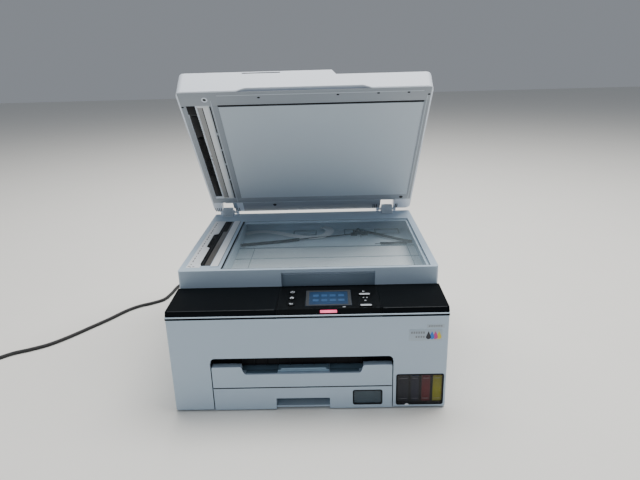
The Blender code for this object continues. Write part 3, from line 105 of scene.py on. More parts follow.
# ---- mains lead ---------------------------------------------------------------------------------
CORD_R = 3.0
CORD_Z = 3.1
CONNECTOR_LOW, CONNECTOR_HIGH = node_box("lead_connector")
PLUG_LOW, PLUG_HIGH = node_box("mains_plug")
RELIEF_GAP = 0.3
INLET_X = (CONNECTOR_LOW.x + CONNECTOR_HIGH.x) / 2
INLET_Z = (CONNECTOR_LOW.z + CONNECTOR_HIGH.z) / 2
ROUTE = (
    (INLET_X, CONNECTOR_HIGH.y + RELIEF_GAP, INLET_Z),
    (INLET_X, CONNECTOR_HIGH.y + 15.0, INLET_Z),
    (-163.5, 263.0, 25.5),
    (-173.0, 276.0, 14.0),
    (-197.0, 289.0, CORD_Z + 2.4),
    (-229.0, 292.0, CORD_Z + 0.2),
    (-262.0, 283.0, CORD_Z),
    (-286.0, 263.0, CORD_Z),
    (-296.0, 238.0, CORD_Z),
    (-299.5, 208.0, CORD_Z),
    (-307.0, 178.0, CORD_Z),
    (-326.0, 161.0, CORD_Z),
    (-348.0, 148.0, CORD_Z),
    (-367.0, 128.0, CORD_Z),
    (-389.0, 92.0, CORD_Z),
    (-412.0, 59.0, CORD_Z),
    (-434.0, 28.0, CORD_Z),
    (-457.0, 2.0, CORD_Z),
    (-481.0, -14.0, CORD_Z),
    (-506.0, -27.0, CORD_Z),
    (-523.0, -42.0, CORD_Z),
    (-538.0, -54.5, CORD_Z),
    (-552.5, -66.5, CORD_Z),
)
COIL_LOW, COIL_HIGH = node_box("lead_coil")
COIL_CENTRE = (COIL_LOW + COIL_HIGH) / 2
COIL_OUTER = 42.0
COIL_PITCH = 2 * CORD_R
COIL_START = math.radians(-50.4)
COIL_END = -math.pi
COIL_WHOLE_TURNS = 4
CLIMB_FROM = 2.0
CLIMB_TO = 2.3
CLIMB_HIGH = 2 * CORD_R
COIL_STEPS = 30


def smooth(points, steps):
    """Catmull-Rom points through the given ones."""
    padded = [points[0] * 2 - points[1]] + points + [points[-1] * 2 - points[-2]]
    out = []
    for index in range(1, len(padded) - 2):
        a, b, c, d = padded[index - 1 : index + 3]
        for step in range(steps):
            t = step / steps
            out.append(
                0.5
                * (
                    2 * b
                    + (c - a) * t
                    + (2 * a - 5 * b + 4 * c - d) * t * t
                    + (3 * b - 3 * c + d - a) * t * t * t
                )
            )
    out.append(points[-1])
    return out


def coil_points():
    """Inward turns on the floor, a climb of one diameter, then outward turns on top of them."""
    turns = COIL_WHOLE_TURNS + (COIL_START - COIL_END) / (2 * math.pi)
    count = round(turns * COIL_STEPS)
    points = []
    for index in range(count + 1):
        run = turns * index / count
        climb = min(1.0, max(0.0, (run - CLIMB_FROM) / (CLIMB_TO - CLIMB_FROM)))
        climb = climb * climb * (3 - 2 * climb)
        inward = min(run, CLIMB_TO)
        radius = COIL_OUTER - COIL_PITCH * inward + COIL_PITCH * (run - inward)
        angle = COIL_START - 2 * math.pi * run
        x = COIL_CENTRE.x + radius * math.cos(angle)
        y = COIL_CENTRE.y + radius * math.sin(angle)
        points.append(Vector((x, y, CORD_Z + CLIMB_HIGH * climb)))
    return points


def cord_points():
    plug_mid = (PLUG_LOW + PLUG_HIGH) / 2
    last = [
        Vector((plug_mid.x, PLUG_LOW.y - 11.0, 7.4)),
        Vector((plug_mid.x, PLUG_LOW.y - RELIEF_GAP, 7.05)),
    ]
    laid = smooth([Vector(point) for point in ROUTE] + coil_points()[:2], 8)
    return laid[:-1] + coil_points()[1:] + last


LEAD_RUN = [point * MM for point in cord_points()]


def build_cord():
    data = bpy.data.curves.new("mains_cord", "CURVE")
    data.dimensions = "3D"
    data.bevel_depth = CORD_R * MM
    data.bevel_resolution = 4
    data.use_fill_caps = True
    line = data.splines.new("POLY")
    line.points.add(len(LEAD_RUN) - 1)
    line.use_smooth = True
    for spot, point in zip(line.points, LEAD_RUN):
        spot.co = (*point, 1.0)
    obj = bpy.data.objects.new("mains_cord", data)
    bpy.context.scene.collection.objects.link(obj)
    return obj


MAINS_CORD = build_cord()

# ---- materials ----------------------------------------------------------------------------------


def new_material(name):
    mat = bpy.data.materials.new(name)
    mat.use_nodes = True
    return mat, mat.node_tree.nodes, mat.node_tree.links, mat.node_tree.nodes["Principled BSDF"]


def noise(nodes, links, vector, scale, detail=2.0):
    """A noise texture read at a vector."""
    texture = nodes.new("ShaderNodeTexNoise")
    texture.inputs["Scale"].default_value = scale
    texture.inputs["Detail"].default_value = detail
    links.new(vector, texture.inputs["Vector"])
    return texture.outputs["Fac"]


def tint(nodes, links, shader, factor, low, high):
    """Base colour between two colours."""
    tone = nodes.new("ShaderNodeMix")
    tone.data_type = "RGBA"
    tone.inputs["A"].default_value = (*low, 1.0)
    tone.inputs["B"].default_value = (*high, 1.0)
    links.new(factor, tone.inputs["Factor"])
    links.new(tone.outputs["Result"], shader.inputs["Base Color"])


def vary_gloss(nodes, links, shader, factor, low, high):
    """Roughness between two values."""
    gloss = nodes.new("ShaderNodeMapRange")
    gloss.inputs["To Min"].default_value = low
    gloss.inputs["To Max"].default_value = high
    links.new(factor, gloss.inputs["Value"])
    links.new(gloss.outputs["Result"], shader.inputs["Roughness"])


def moulded(name, colour, rough, grain=900.0, depth=0.02, spread=0.03, spec=0.5, coat=0.0, metal=0.0):
    """Moulded plastic or rubber: a fine eroded texture and faint cloudy variation in tone and gloss."""
    mat, nodes, links, shader = new_material(name)
    where = nodes.new("ShaderNodeTexCoord").outputs["Object"]
    fine = noise(nodes, links, where, grain, 4.0)
    broad = noise(nodes, links, where, 9.0, 3.0)
    darker = [c * (1 - spread) for c in colour]
    tint(nodes, links, shader, broad, darker, [min(1.0, c * (1 + spread)) for c in colour])
    vary_gloss(nodes, links, shader, fine, max(0.02, rough - 0.05), min(1.0, rough + 0.05))
    bump = nodes.new("ShaderNodeBump")
    bump.inputs["Strength"].default_value = 0.25
    bump.inputs["Distance"].default_value = depth * MM
    links.new(fine, bump.inputs["Height"])
    links.new(bump.outputs["Normal"], shader.inputs["Normal"])
    shader.inputs["Specular IOR Level"].default_value = spec
    shader.inputs["Coat Weight"].default_value = coat
    shader.inputs["Metallic"].default_value = metal
    return mat


def sheet_steel(name, colour, rough):
    """Rolled steel with a faint drawn grain."""
    mat, nodes, links, shader = new_material(name)
    where = nodes.new("ShaderNodeTexCoord")
    stretch = nodes.new("ShaderNodeMapping")
    stretch.inputs["Scale"].default_value = (12.0, 300.0, 300.0)
    links.new(where.outputs["Object"], stretch.inputs["Vector"])
    drawn = noise(nodes, links, stretch.outputs["Vector"], 6.0, 5.0)
    vary_gloss(nodes, links, shader, drawn, rough - 0.08, rough + 0.1)
    tint(nodes, links, shader, drawn, [c * 0.88 for c in colour], colour)
    shader.inputs["Metallic"].default_value = 1.0
    return mat


def see_through(name, colour, alpha, rough, spread=0.02):
    """A clear or tinted pane: a thin tint that the surface behind shows through."""
    mat, nodes, links, shader = new_material(name)
    where = nodes.new("ShaderNodeTexCoord").outputs["Object"]
    tint(nodes, links, shader, noise(nodes, links, where, 14.0), [c * (1 - spread) for c in colour], colour)
    shader.inputs["Roughness"].default_value = rough
    shader.inputs["Alpha"].default_value = alpha
    return mat


def glowing(name, colour, strength, along="X", fade=0.35):
    """A glowing surface, brighter in the middle of its length than at its ends: the screen and status
    light, and the painted glow of the ink behind the window.
    """
    mat, nodes, links, shader = new_material(name)
    where = nodes.new("ShaderNodeTexCoord")
    split = nodes.new("ShaderNodeSeparateXYZ")
    links.new(where.outputs["Generated"], split.inputs["Vector"])
    ramp = nodes.new("ShaderNodeValToRGB")
    for place, end in enumerate(ramp.color_ramp.elements):
        end.position = place
        end.color = (*[c * fade for c in colour], 1.0)
    middle = ramp.color_ramp.elements.new(0.5)
    middle.color = (*colour, 1.0)
    links.new(split.outputs[along], ramp.inputs["Fac"])
    links.new(ramp.outputs["Color"], shader.inputs["Emission Color"])
    links.new(ramp.outputs["Color"], shader.inputs["Base Color"])
    shader.inputs["Emission Strength"].default_value = strength
    shader.inputs["Roughness"].default_value = 0.3
    return mat


CASE_WHITE = moulded("case_white", (0.465, 0.575, 0.685), 0.42)
LID_GREY = moulded("lid_white", (0.78, 0.84, 0.93), 0.45)
LIGHT_GREY = moulded("light_grey_plastic", (0.52, 0.58, 0.64), 0.45)
MID_GREY = moulded("mid_grey_plastic", (0.25, 0.27, 0.29), 0.5)
DARK = moulded("dark_plastic", (0.022, 0.024, 0.027), 0.5, spec=0.3)
DECK_BLACK = moulded("deck_black", (0.003, 0.004, 0.005), 0.4, grain=1400.0, depth=0.012, spec=0.05)
PANEL_BLACK = moulded("panel_black", (0.003, 0.0035, 0.004), 0.34, grain=1600.0, depth=0.008, spec=0.08)
RUBBER = moulded("rubber", (0.02, 0.02, 0.021), 0.7, grain=700.0, depth=0.03)
STEEL = sheet_steel("steel", (0.62, 0.64, 0.66), 0.32)
PAD_SHEET = moulded("pad_sheet", (0.50, 0.57, 0.64), 0.6, grain=350.0, depth=0.02, spread=0.02)
BACKING = moulded("feeder_white", (0.75, 0.78, 0.80), 0.4)
GLASS = see_through("clear_glass", (0.66, 0.80, 0.86), 0.10, 0.03)
SMOKE = see_through("smoked_panel", (0.02, 0.022, 0.026), 0.45, 0.1)
BOARD = moulded("circuit_board", (0.02, 0.16, 0.07), 0.45, grain=120.0)
LCD = glowing("screen_picture", (0.009, 0.030, 0.075), 0.5, "X", 0.75)
PINK = glowing("status_glow", (1.0, 0.12, 0.26), 1.5, "X", 0.75)
INK_COLOURS = {
    "black": (0.012, 0.012, 0.014),
    "cyan": (0.01, 0.10, 0.42),
    "magenta": (0.45, 0.01, 0.08),
    "yellow": (0.80, 0.62, 0.01),
}
INKS = {word: moulded(f"ink_{word}", colour, 0.2) for word, colour in INK_COLOURS.items()}

TIE_BLACK = moulded("tie_black", (0.015, 0.015, 0.017), 0.55, grain=500.0)
RIM_WHITE = moulded("rim_white", (0.80, 0.83, 0.86), 0.4)
# Used both for painted shade in gaps, holes, slots, vents and screw crosses, and for the real black of
# brushes, flaps, cables and rims.
PIT_BLACK = moulded("pit_black", (0.008, 0.008, 0.010), 0.6, spec=0.2)
TRAY_BLUE = moulded("tray_blue", (0.13, 0.20, 0.26), 0.45)
TRAY_MID = moulded("tray_mid", (0.24, 0.36, 0.46), 0.45)
# Painted shade for the back of the scanner's finger scoop.
SCOOP_SHADE = moulded("scoop_painted_shade", (0.22, 0.29, 0.36), 0.5)
WINDOW_BROWN = moulded("window_brown", (0.10, 0.095, 0.088), 0.3)
GAUGE_CLEAR = see_through("gauge_clear", (0.09, 0.13, 0.16), 0.55, 0.12)
PAPER = moulded("paper", (0.78, 0.77, 0.72), 0.8, grain=200.0)
MARK_GREY = moulded("mark_grey", (0.30, 0.31, 0.33), 0.5)
MARK_WHITE = moulded("mark_white", (0.42, 0.45, 0.49), 0.5)
STICKER = moulded("sticker_card", (0.44, 0.52, 0.60), 0.5)
SHADE = moulded("seam_shade", (0.30, 0.33, 0.36), 0.6)
# Painted shade inside the cassette's pull.
GRIP_SHADE = moulded("grip_painted_shade", (0.16, 0.18, 0.18), 0.5)
SCREEN_GREY = moulded("screen_grey", (0.035, 0.038, 0.042), 0.35)
SCREEN_TILE = glowing("screen_tile", (0.022, 0.060, 0.135), 0.75, "Y", 0.85)
# Painted highlight for the deck's fold, lighter than the deck's black.
DECK_HIGHLIGHT = moulded("deck_fold_highlight", (0.03, 0.035, 0.04), 0.35)
UNDER_GREY = moulded("lid_lining", (0.31, 0.345, 0.39), 0.5)
PRESS_GREY = moulded("sheet_press", (0.34, 0.34, 0.34), 0.5)
BED_PALE = moulded("bed_pale", (0.92, 0.97, 0.99), 0.5)
# Painted shade: the bed's rear and its side wall are darker than the pale front, as the open lid shades
# them.
BED_SHADED = moulded("bed_painted_shade", (0.66, 0.77, 0.84), 0.5)
BED_LINE = moulded("bed_line", (0.24, 0.29, 0.33), 0.5)
RIBBON = moulded("flat_cable", (0.96, 0.98, 0.99), 0.35)
LATCH_BLUE = moulded("latch_blue", (0.34, 0.42, 0.52), 0.45)
# The ink seen through the smoked window: each colour with a painted glow, brighter at mid height, for the
# light that reaches the tanks through the window.
INK_SHOWS = {
    "black": ((0.020, 0.022, 0.045), 0.3),
    "cyan": ((0.022, 0.026, 0.070), 0.35),
    "magenta": ((0.26, 0.022, 0.028), 0.5),
    "yellow": ((0.50, 0.48, 0.012), 0.6),
}
INK_GLOW = {word: glowing(f"ink_painted_glow_{word}", *show, "Z", 0.7) for word, show in INK_SHOWS.items()}
DROP_COLOURS = {
    "black": (0.02, 0.02, 0.03),
    "cyan": (0.03, 0.20, 0.62),
    "magenta": (0.60, 0.05, 0.25),
    "yellow": (0.75, 0.60, 0.05),
}
DROP_LOOKS = {word: moulded(f"drop_{word}", colour, 0.5) for word, colour in DROP_COLOURS.items()}

NODE_LOOKS = {}
for look, names in (
    (CASE_WHITE, "lower_casing paper_cassette output_tray scanner_housing"),
    (LID_GREY, "lid_shell feeder_cover document_tray"),
    (DECK_BLACK, "top_deck"),
    (PANEL_BLACK, "operation_panel feeder_glass_strip key_power key_home key_back key_start key_stop"),
    (GLASS, "scanner_glass"),
    (SMOKE, "ink_window"),
    (PAD_SHEET, "lid_pad"),
    (BACKING, "feeder_backing"),
    (DARK, "feeder_guide power_inlet print_chassis platen print_carriage scan_bar"),
    (LIGHT_GREY, "lid_hinge_left lid_hinge_right paper_guide_left paper_guide_right"),
    (TRAY_MID, "output_extension"),
    (MID_GREY, "document_guide_front document_guide_rear rear_cover maintenance_unit"),
    (STEEL, "rail_frame guide_rod power_supply"),
    (BOARD, "main_board"),
    (LCD, "touch_screen"),
    (PINK, "status_light"),
):
    NODE_LOOKS.update(dict.fromkeys(names.split(), look))
for part in INKS:
    NODE_LOOKS[f"ink_tank_{part}"] = INKS[part]
    NODE_LOOKS[f"tank_cap_{part}"] = INKS[part]
NO_EDGE = ("scanner_glass", "touch_screen", "status_light", "feeder_guide", "main_board")
EDGE_WIDTH = 0.5


def soften(obj, width, segments=2, angle=35.0):
    """Rounds an object's hard edges so that they catch the light."""
    weld = obj.modifiers.new("weld", "WELD")
    weld.merge_threshold = 0.00001
    flat = obj.modifiers.new("flat", "DECIMATE")
    flat.decimate_type = "DISSOLVE"
    flat.angle_limit = math.radians(0.5)
    edge = obj.modifiers.new("edge", "BEVEL")
    edge.width = width * MM
    edge.segments = segments
    edge.limit_method = "ANGLE"
    edge.angle_limit = math.radians(angle)
    edge.harden_normals = False
    smooth = obj.modifiers.new("normals", "WEIGHTED_NORMAL")
    smooth.keep_sharp = True
    obj.data.shade_smooth()


for name, obj in frame["nodes"].items():
    obj.data.materials.clear()
    obj.data.materials.append(NODE_LOOKS.get(name, RUBBER))
    if name not in NO_EDGE:
        soften(obj, EDGE_WIDTH)


# ---- pieces that the frame carries --------------------------------------------------------------
SEGMENTS = 2


def add_piece(name, bm, look, body, closed_lid=False, smooth_angle=35.0):
    """Links a bmesh in millimetres as a piece that rides on a body; closed_lid turns it up with the lid."""
    if closed_lid:
        bm.transform(CLOSED_TO_OPEN)
    bmesh.ops.scale(bm, vec=(MM, MM, MM), verts=bm.verts)
    bmesh.ops.recalc_face_normals(bm, faces=bm.faces)
    mesh = bpy.data.meshes.new(name)
    bm.to_mesh(mesh)
    bm.free()
    mesh.materials.append(look)
    mesh.shade_smooth()
    mesh.set_sharp_from_angle(angle=math.radians(smooth_angle))
    obj = bpy.data.objects.new(name, mesh)
    bpy.context.scene.collection.objects.link(obj)
    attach(obj, body)
    return obj


def slab(bm, xs, ys, zs, edge=0.25, matrix=None):
    """Adds a block with rounded edges."""
    made = bmesh.ops.create_cube(bm, size=1.0)["verts"]
    size = (xs[1] - xs[0], ys[1] - ys[0], zs[1] - zs[0])
    middle = ((xs[0] + xs[1]) / 2, (ys[0] + ys[1]) / 2, (zs[0] + zs[1]) / 2)
    bmesh.ops.scale(bm, vec=size, verts=made)
    bmesh.ops.translate(bm, vec=middle, verts=made)
    if matrix:
        bmesh.ops.transform(bm, matrix=matrix, verts=made)
    edge = min(edge, min(size) * 0.4)
    edges = list({line for vert in made for line in vert.link_edges})
    bmesh.ops.bevel(bm, geom=edges, offset=edge, segments=SEGMENTS, profile=0.5, affect="EDGES")


def blocks(name, look, body, rows, closed_lid=False):
    """A piece made only of blocks: each row holds the xs, ys, zs and edge of one."""
    bm = bmesh.new()
    for row in rows:
        slab(bm, *row)
    return add_piece(name, bm, look, body, closed_lid)


def stepped(start, step, count):
    """Values from a start, one step apart."""
    return [start + index * step for index in range(count)]


def between(low, high, count):
    """Values spread evenly from low to high."""
    return [low + (high - low) * index / (count - 1) for index in range(count)]


def rounded_outline(us, vs, radius, steps=5):
    """A rectangle's outline with rounded corners."""
    corners = ((us[1], vs[1], 0), (us[0], vs[1], 1), (us[0], vs[0], 2), (us[1], vs[0], 3))
    inward = ((-1, -1), (1, -1), (1, 1), (-1, 1))
    outline = []
    for (u, v, quarter), (du, dv) in zip(corners, inward):
        for step in range(steps + 1):
            turn = (quarter + step / steps) * math.pi / 2
            outline.append((u + radius * (du + math.cos(turn)), v + radius * (dv + math.sin(turn))))
    return outline


def ring(us, vs, radius, wall, inner_radius):
    """A rounded rectangle's outline and that of the hole inside its wall."""
    hole = rounded_outline((us[0] + wall, us[1] - wall), (vs[0] + wall, vs[1] - wall), inner_radius)
    return rounded_outline(us, vs, radius), hole


def circle_outline(centre, radius, steps=20):
    turns = [2 * math.pi * step / steps for step in range(steps)]
    return [(centre[0] + radius * math.cos(turn), centre[1] + radius * math.sin(turn)) for turn in turns]


PLANES = {
    "X": lambda u, v, w: (w, u, v),
    "Y": lambda u, v, w: (u, w, v),
    "Z": lambda u, v, w: (u, v, w),
}


def plate(bm, outline, axis, low, high, hole=None, edge=0.0):
    """Adds an outline, less one hole if given, swept along an axis: y, z for X; x, z for Y; x, y for Z."""
    to_space = PLANES[axis]
    start = len(bm.verts)
    rims = []
    for loop in [outline] + ([hole] if hole else []):
        rims.append([[bm.verts.new(to_space(u, v, w)) for u, v in loop] for w in (low, high)])
    faces = []
    for bottom, top in rims:
        count = len(bottom)
        for index in range(count):
            following = (index + 1) % count
            faces.append(bm.faces.new((bottom[index], bottom[following], top[following], top[index])))
    if hole:
        for level in (0, 1):
            loops = [rim[level] for rim in rims]
            lines = []
            for loop in loops:
                for a, b in zip(loop, loop[1:] + loop[:1]):
                    lines.append(bm.edges.get((a, b)) or bm.edges.new((a, b)))
            bmesh.ops.triangle_fill(bm, use_beauty=True, use_dissolve=True, edges=lines)
    else:
        bottom, top = rims[0]
        faces.append(bm.faces.new(bottom))
        faces.append(bm.faces.new(top))
    bm.verts.ensure_lookup_table()
    made = bm.verts[start:]
    if edge and not hole:
        outer = [line for line in {e for v in made for e in v.link_edges} if abs_along(line, axis)]
        bmesh.ops.bevel(bm, geom=outer, offset=edge, segments=SEGMENTS, profile=0.5, affect="EDGES")


def abs_along(line, axis):
    """Whether an edge lies across the sweep, and so belongs to a rim of the plate."""
    number = "XYZ".index(axis)
    return abs(line.verts[0].co[number] - line.verts[1].co[number]) < 1e-6


def rod_between(bm, a, b, radius, sides=14, tip=None):
    """Adds a rod from a to b, which narrows to the tip radius if one is given."""
    a, b = Vector(a), Vector(b)
    run = b - a
    made = bmesh.ops.create_cone(
        bm,
        cap_ends=True,
        segments=sides,
        radius1=radius,
        radius2=tip or radius,
        depth=run.length,
    )["verts"]
    place = Matrix.Translation((a + b) / 2) @ run.to_track_quat("Z", "Y").to_matrix().to_4x4()
    bmesh.ops.transform(bm, matrix=place, verts=made)


def sweep(bm, points, section):
    """Adds a closed section carried along points without twist, with its ends closed."""
    rings = []
    for index, point in enumerate(points):
        before = points[max(index - 1, 0)]
        after = points[min(index + 1, len(points) - 1)]
        ahead = (after - before).normalized()
        side = ahead.cross(Vector((0.0, 0.0, 1.0)))
        side = side.normalized() if side.length > 1e-4 else Vector((1.0, 0.0, 0.0))
        over = side.cross(ahead)
        rings.append([bm.verts.new(point + side * u + over * v) for u, v in section])
    for first, second in zip(rings, rings[1:]):
        for index in range(len(section)):
            following = (index + 1) % len(section)
            bm.faces.new((first[index], first[following], second[following], second[index]))
    bm.faces.new(rings[0])
    bm.faces.new(rings[-1])


def wire(name, points, radius, look, body, closed_lid=False):
    """A round wire or bead through points."""
    bm = bmesh.new()
    run = smooth([Vector(point) for point in points], 6)
    sweep(bm, run, circle_outline((0.0, 0.0), radius, 10))
    return add_piece(name, bm, look, body, closed_lid)


# ---- mains lead: its tie, plug and reliefs ------------------------------------------------------
MAINS_CORD.data.materials.append(RUBBER)
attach(MAINS_CORD, "base")
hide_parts("mains_lead", "lead_coil")
TIE_WIDE = 9.0
TIE_AT = math.radians(60.0)
RELIEF_RINGS = 6
RELIEF_RADII = (4.8, 3.8)


def coil_tie():
    """A strap closed round the coil's turns, with its loose tail."""
    bm = bmesh.new()
    inner = COIL_OUTER - COIL_PITCH * CLIMB_TO - CORD_R - 0.6
    outer = COIL_OUTER + CORD_R + 0.2
    top = CORD_Z + CLIMB_HIGH + CORD_R + 0.1
    band = rounded_outline((inner - 0.9, outer + 0.9), (0.02, top + 0.9), 4.0)
    hole = rounded_outline((inner, outer), (0.6, top), 3.2)
    plate(bm, band, "Y", -TIE_WIDE / 2, TIE_WIDE / 2, hole)
    slab(bm, (outer - 2.0, outer + 1.9), (-TIE_WIDE / 2 + 0.5, TIE_WIDE / 2 - 0.5), (2.0, 9.0), 0.4)
    turn = Matrix.Translation((COIL_CENTRE.x, COIL_CENTRE.y, 0.0)) @ Matrix.Rotation(TIE_AT, 4, "Z")
    bm.transform(turn)
    return add_piece("coil_tie", bm, TIE_BLACK, "base")


def relief_ribs(name, x, ys, z, radii):
    """Rings round a tapered strain relief, from its root to its tip."""
    bm = bmesh.new()
    for index in range(RELIEF_RINGS):
        part = (index + 0.5) / RELIEF_RINGS
        y = ys[0] + (ys[1] - ys[0]) * part
        radius = radii[0] + (radii[1] - radii[0]) * part + 0.55
        half = abs(ys[1] - ys[0]) / RELIEF_RINGS * 0.3
        rod_between(bm, (x, y - half, z), (x, y + half, z), radius, 20)
    return add_piece(name, bm, RUBBER, "base")


PIN_R = 2.15
PIN_LONG = 19.0
PIN_APART = 19.0
GRIP_BEHIND_FACE = 53.0


def plug_details():
    """The plug's two pins, and the ribs and pad of its grip."""
    mid = (PLUG_LOW + PLUG_HIGH) / 2
    pins = bmesh.new()
    for side in (-PIN_APART / 2, PIN_APART / 2):
        x = mid.x + side
        tip = PLUG_HIGH.y + 0.3
        shoulder = tip - 2.0
        rod_between(pins, (x, tip - PIN_LONG, mid.z), (x, shoulder, mid.z), PIN_R, 20)
        rod_between(pins, (x, shoulder, mid.z), (x, tip, mid.z), PIN_R, 20, 1.2)
    metal = add_piece("plug_pins", pins, STEEL, "base")
    grip = bmesh.new()
    body_start = PLUG_HIGH.y - GRIP_BEHIND_FACE
    for y in stepped(body_start + 19.0, 2.8, 5):
        slab(grip, (mid.x - 15.4, mid.x + 15.4), (y, y + 1.3), (1.5, PLUG_HIGH.z - 1.0), 0.4)
    pad = (body_start + 20.0, body_start + 32.0)
    slab(grip, (mid.x - 8.0, mid.x + 8.0), pad, (13.2, PLUG_HIGH.z + 0.4), 0.3)
    grips = add_piece("plug_grips", grip, RUBBER, "base")
    return [metal, grips]


tie = coil_tie()
ends = plug_details()
ends.append(
    relief_ribs(
        "plug_relief_ribs",
        (PLUG_LOW.x + PLUG_HIGH.x) / 2,
        (PLUG_LOW.y + 24.0, PLUG_LOW.y + 1.0),
        (PLUG_LOW.z + PLUG_HIGH.z) / 2,
        RELIEF_RADII,
    )
)
ends.append(
    relief_ribs(
        "connector_relief_ribs",
        INLET_X,
        (CONNECTOR_HIGH.y - 24.0, CONNECTOR_HIGH.y - 1.0),
        INLET_Z,
        RELIEF_RADII,
    )
)

# ---- front of the casing ------------------------------------------------------------------------
FRONT_Y = CASE_LOW.y
CASSETTE_LOW, CASSETTE_HIGH = node_box("paper_cassette")
OUTPUT_LOW, OUTPUT_HIGH = node_box("output_tray")
WINDOW_LOW, WINDOW_HIGH = node_box("ink_window")
EXT_LOW, EXT_HIGH = node_box("output_extension")
BAY_TOP = 83.0
TRAY_FLOOR = 57.7
TRAY_NOTCH = (-86.0, 69.0)


def casing_rim():
    """The bright rolled lip along the top of the casing's front and sides."""
    bm = bmesh.new()
    low, high = CASE_HIGH.z - 1.5, CASE_HIGH.z + 0.25
    half = CASE_HIGH.x
    slab(bm, (-half + 0.6, half - 0.6), (FRONT_Y - 0.2, FRONT_Y + 1.2), (low, high), 0.5)
    for side in (-1, 1):
        xs = sorted((side * (half - 1.2), side * (half + 0.2)))
        slab(bm, xs, (FRONT_Y + 0.6, -FRONT_Y - 1.5), (low, high), 0.5)
    return add_piece("casing_rim", bm, CASE_WHITE, "base")


def exit_flap():
    """The black ribbed flap above the finished sheets, and the roof of the bay behind it."""
    x_low, x_high = CASSETTE_LOW.x - 0.4, CASSETTE_HIGH.x + 0.4
    rows = [
        ((x_low, x_high), (-173.5, -172.0), (62.6, 84.2), 0.4),
        ((x_low, x_high), (-186.5, -172.0), (83.2, 84.6), 0.3),
    ]
    for x in between(x_low + 8.0, x_high - 8.0, 15):
        rows.append(((x - 0.6, x + 0.6), (-176.0, -173.0), (63.2, 83.6), 0.3))
    blocks("exit_flap", PIT_BLACK, "base", rows)


def tray_liner():
    """The blue-grey lining of the output tray on either side of its extension."""
    level = (TRAY_FLOOR + 0.02, TRAY_FLOOR + 0.3)
    rows = []
    whole = (OUTPUT_LOW.x + 3.0, OUTPUT_HIGH.x - 3.0)
    for notch, ys in ((whole, (-178.5, 10.0)), (TRAY_NOTCH, (-187.0, -178.0))):
        rows.append(((notch[0], EXT_LOW.x - 0.8), ys, level, 0.1))
        rows.append(((EXT_HIGH.x + 0.8, notch[1]), ys, level, 0.1))
    blocks("tray_liner", TRAY_BLUE, "output_tray", rows)


def tray_shoulders():
    """Raised blocks behind the tray front's two shoulders, which square off its notch."""
    ends = ((OUTPUT_LOW.x + 2.0, -91.6), (74.6, OUTPUT_HIGH.x - 2.0))
    rows = [(xs, (-187.6, -179.6), (58.0, 69.3), 0.6) for xs in ends]
    blocks("tray_shoulders", CASE_WHITE, "output_tray", rows)


def bay_gap_shade():
    """Painted shade: a dark band in the gap on both sides of the tray and the cassette."""
    left, right = CASSETTE_LOW.x - 0.8, CASSETTE_HIGH.x + 0.8
    face = (FRONT_Y - 0.06, FRONT_Y + 0.4)
    tall = (CASE_LOW.z + 0.2, BAY_TOP - 7.0)
    rows = [(xs, face, tall, 0.05) for xs in ((left - 0.5, left + 0.3), (right - 0.3, right + 0.5))]
    blocks("bay_gap_shade", PIT_BLACK, "base", rows)


def shade_at_split(name, body, zs):
    """Painted shade: a thin dark line where the tray front meets the cassette."""
    xs = (CASSETTE_LOW.x + 0.6, CASSETTE_HIGH.x - 0.6)
    blocks(name, PIT_BLACK, body, [(xs, (FRONT_Y - 0.06, FRONT_Y + 1.2), zs, 0.05)])


def paper_gauge():
    """The see-through pane in the cassette's opening, its dark rim, its flag and the paper stack."""
    outer, inner = ring((59.5, 100.5), (7.0, 30.8), 3.2, 1.7, 2.2)
    rim = bmesh.new()
    plate(rim, outer, "Y", FRONT_Y - 0.15, FRONT_Y + 2.0, inner)
    add_piece("gauge_rim", rim, PIT_BLACK, "paper_cassette")
    pane = bmesh.new()
    shape = rounded_outline((60.9, 99.1), (8.4, 29.4), 2.4)
    plate(pane, shape, "Y", FRONT_Y + 1.0, FRONT_Y + 1.8, edge=0.2)
    add_piece("gauge_pane", pane, GAUGE_CLEAR, "paper_cassette")
    leaves = []
    for index, low in enumerate(stepped(10.6, 1.3, 6)):
        inset = 0.3 * (index % 2)
        ends = (-167.5 + inset, 110.0)
        leaves.append(((-64.6 + inset, 46.2 - inset), ends, (low, low + 1.2), 0.2))
    blocks("paper_stack", PAPER, "paper_cassette", leaves)
    flag = (
        ((57.0, 103.0), (-168.0, -166.5), (19.0, 32.0), 0.3),
        ((72.0, 88.0), (-167.0, -120.0), (30.5, 32.0), 0.3),
    )
    blocks("gauge_flag", TRAY_BLUE, "paper_cassette", flag)


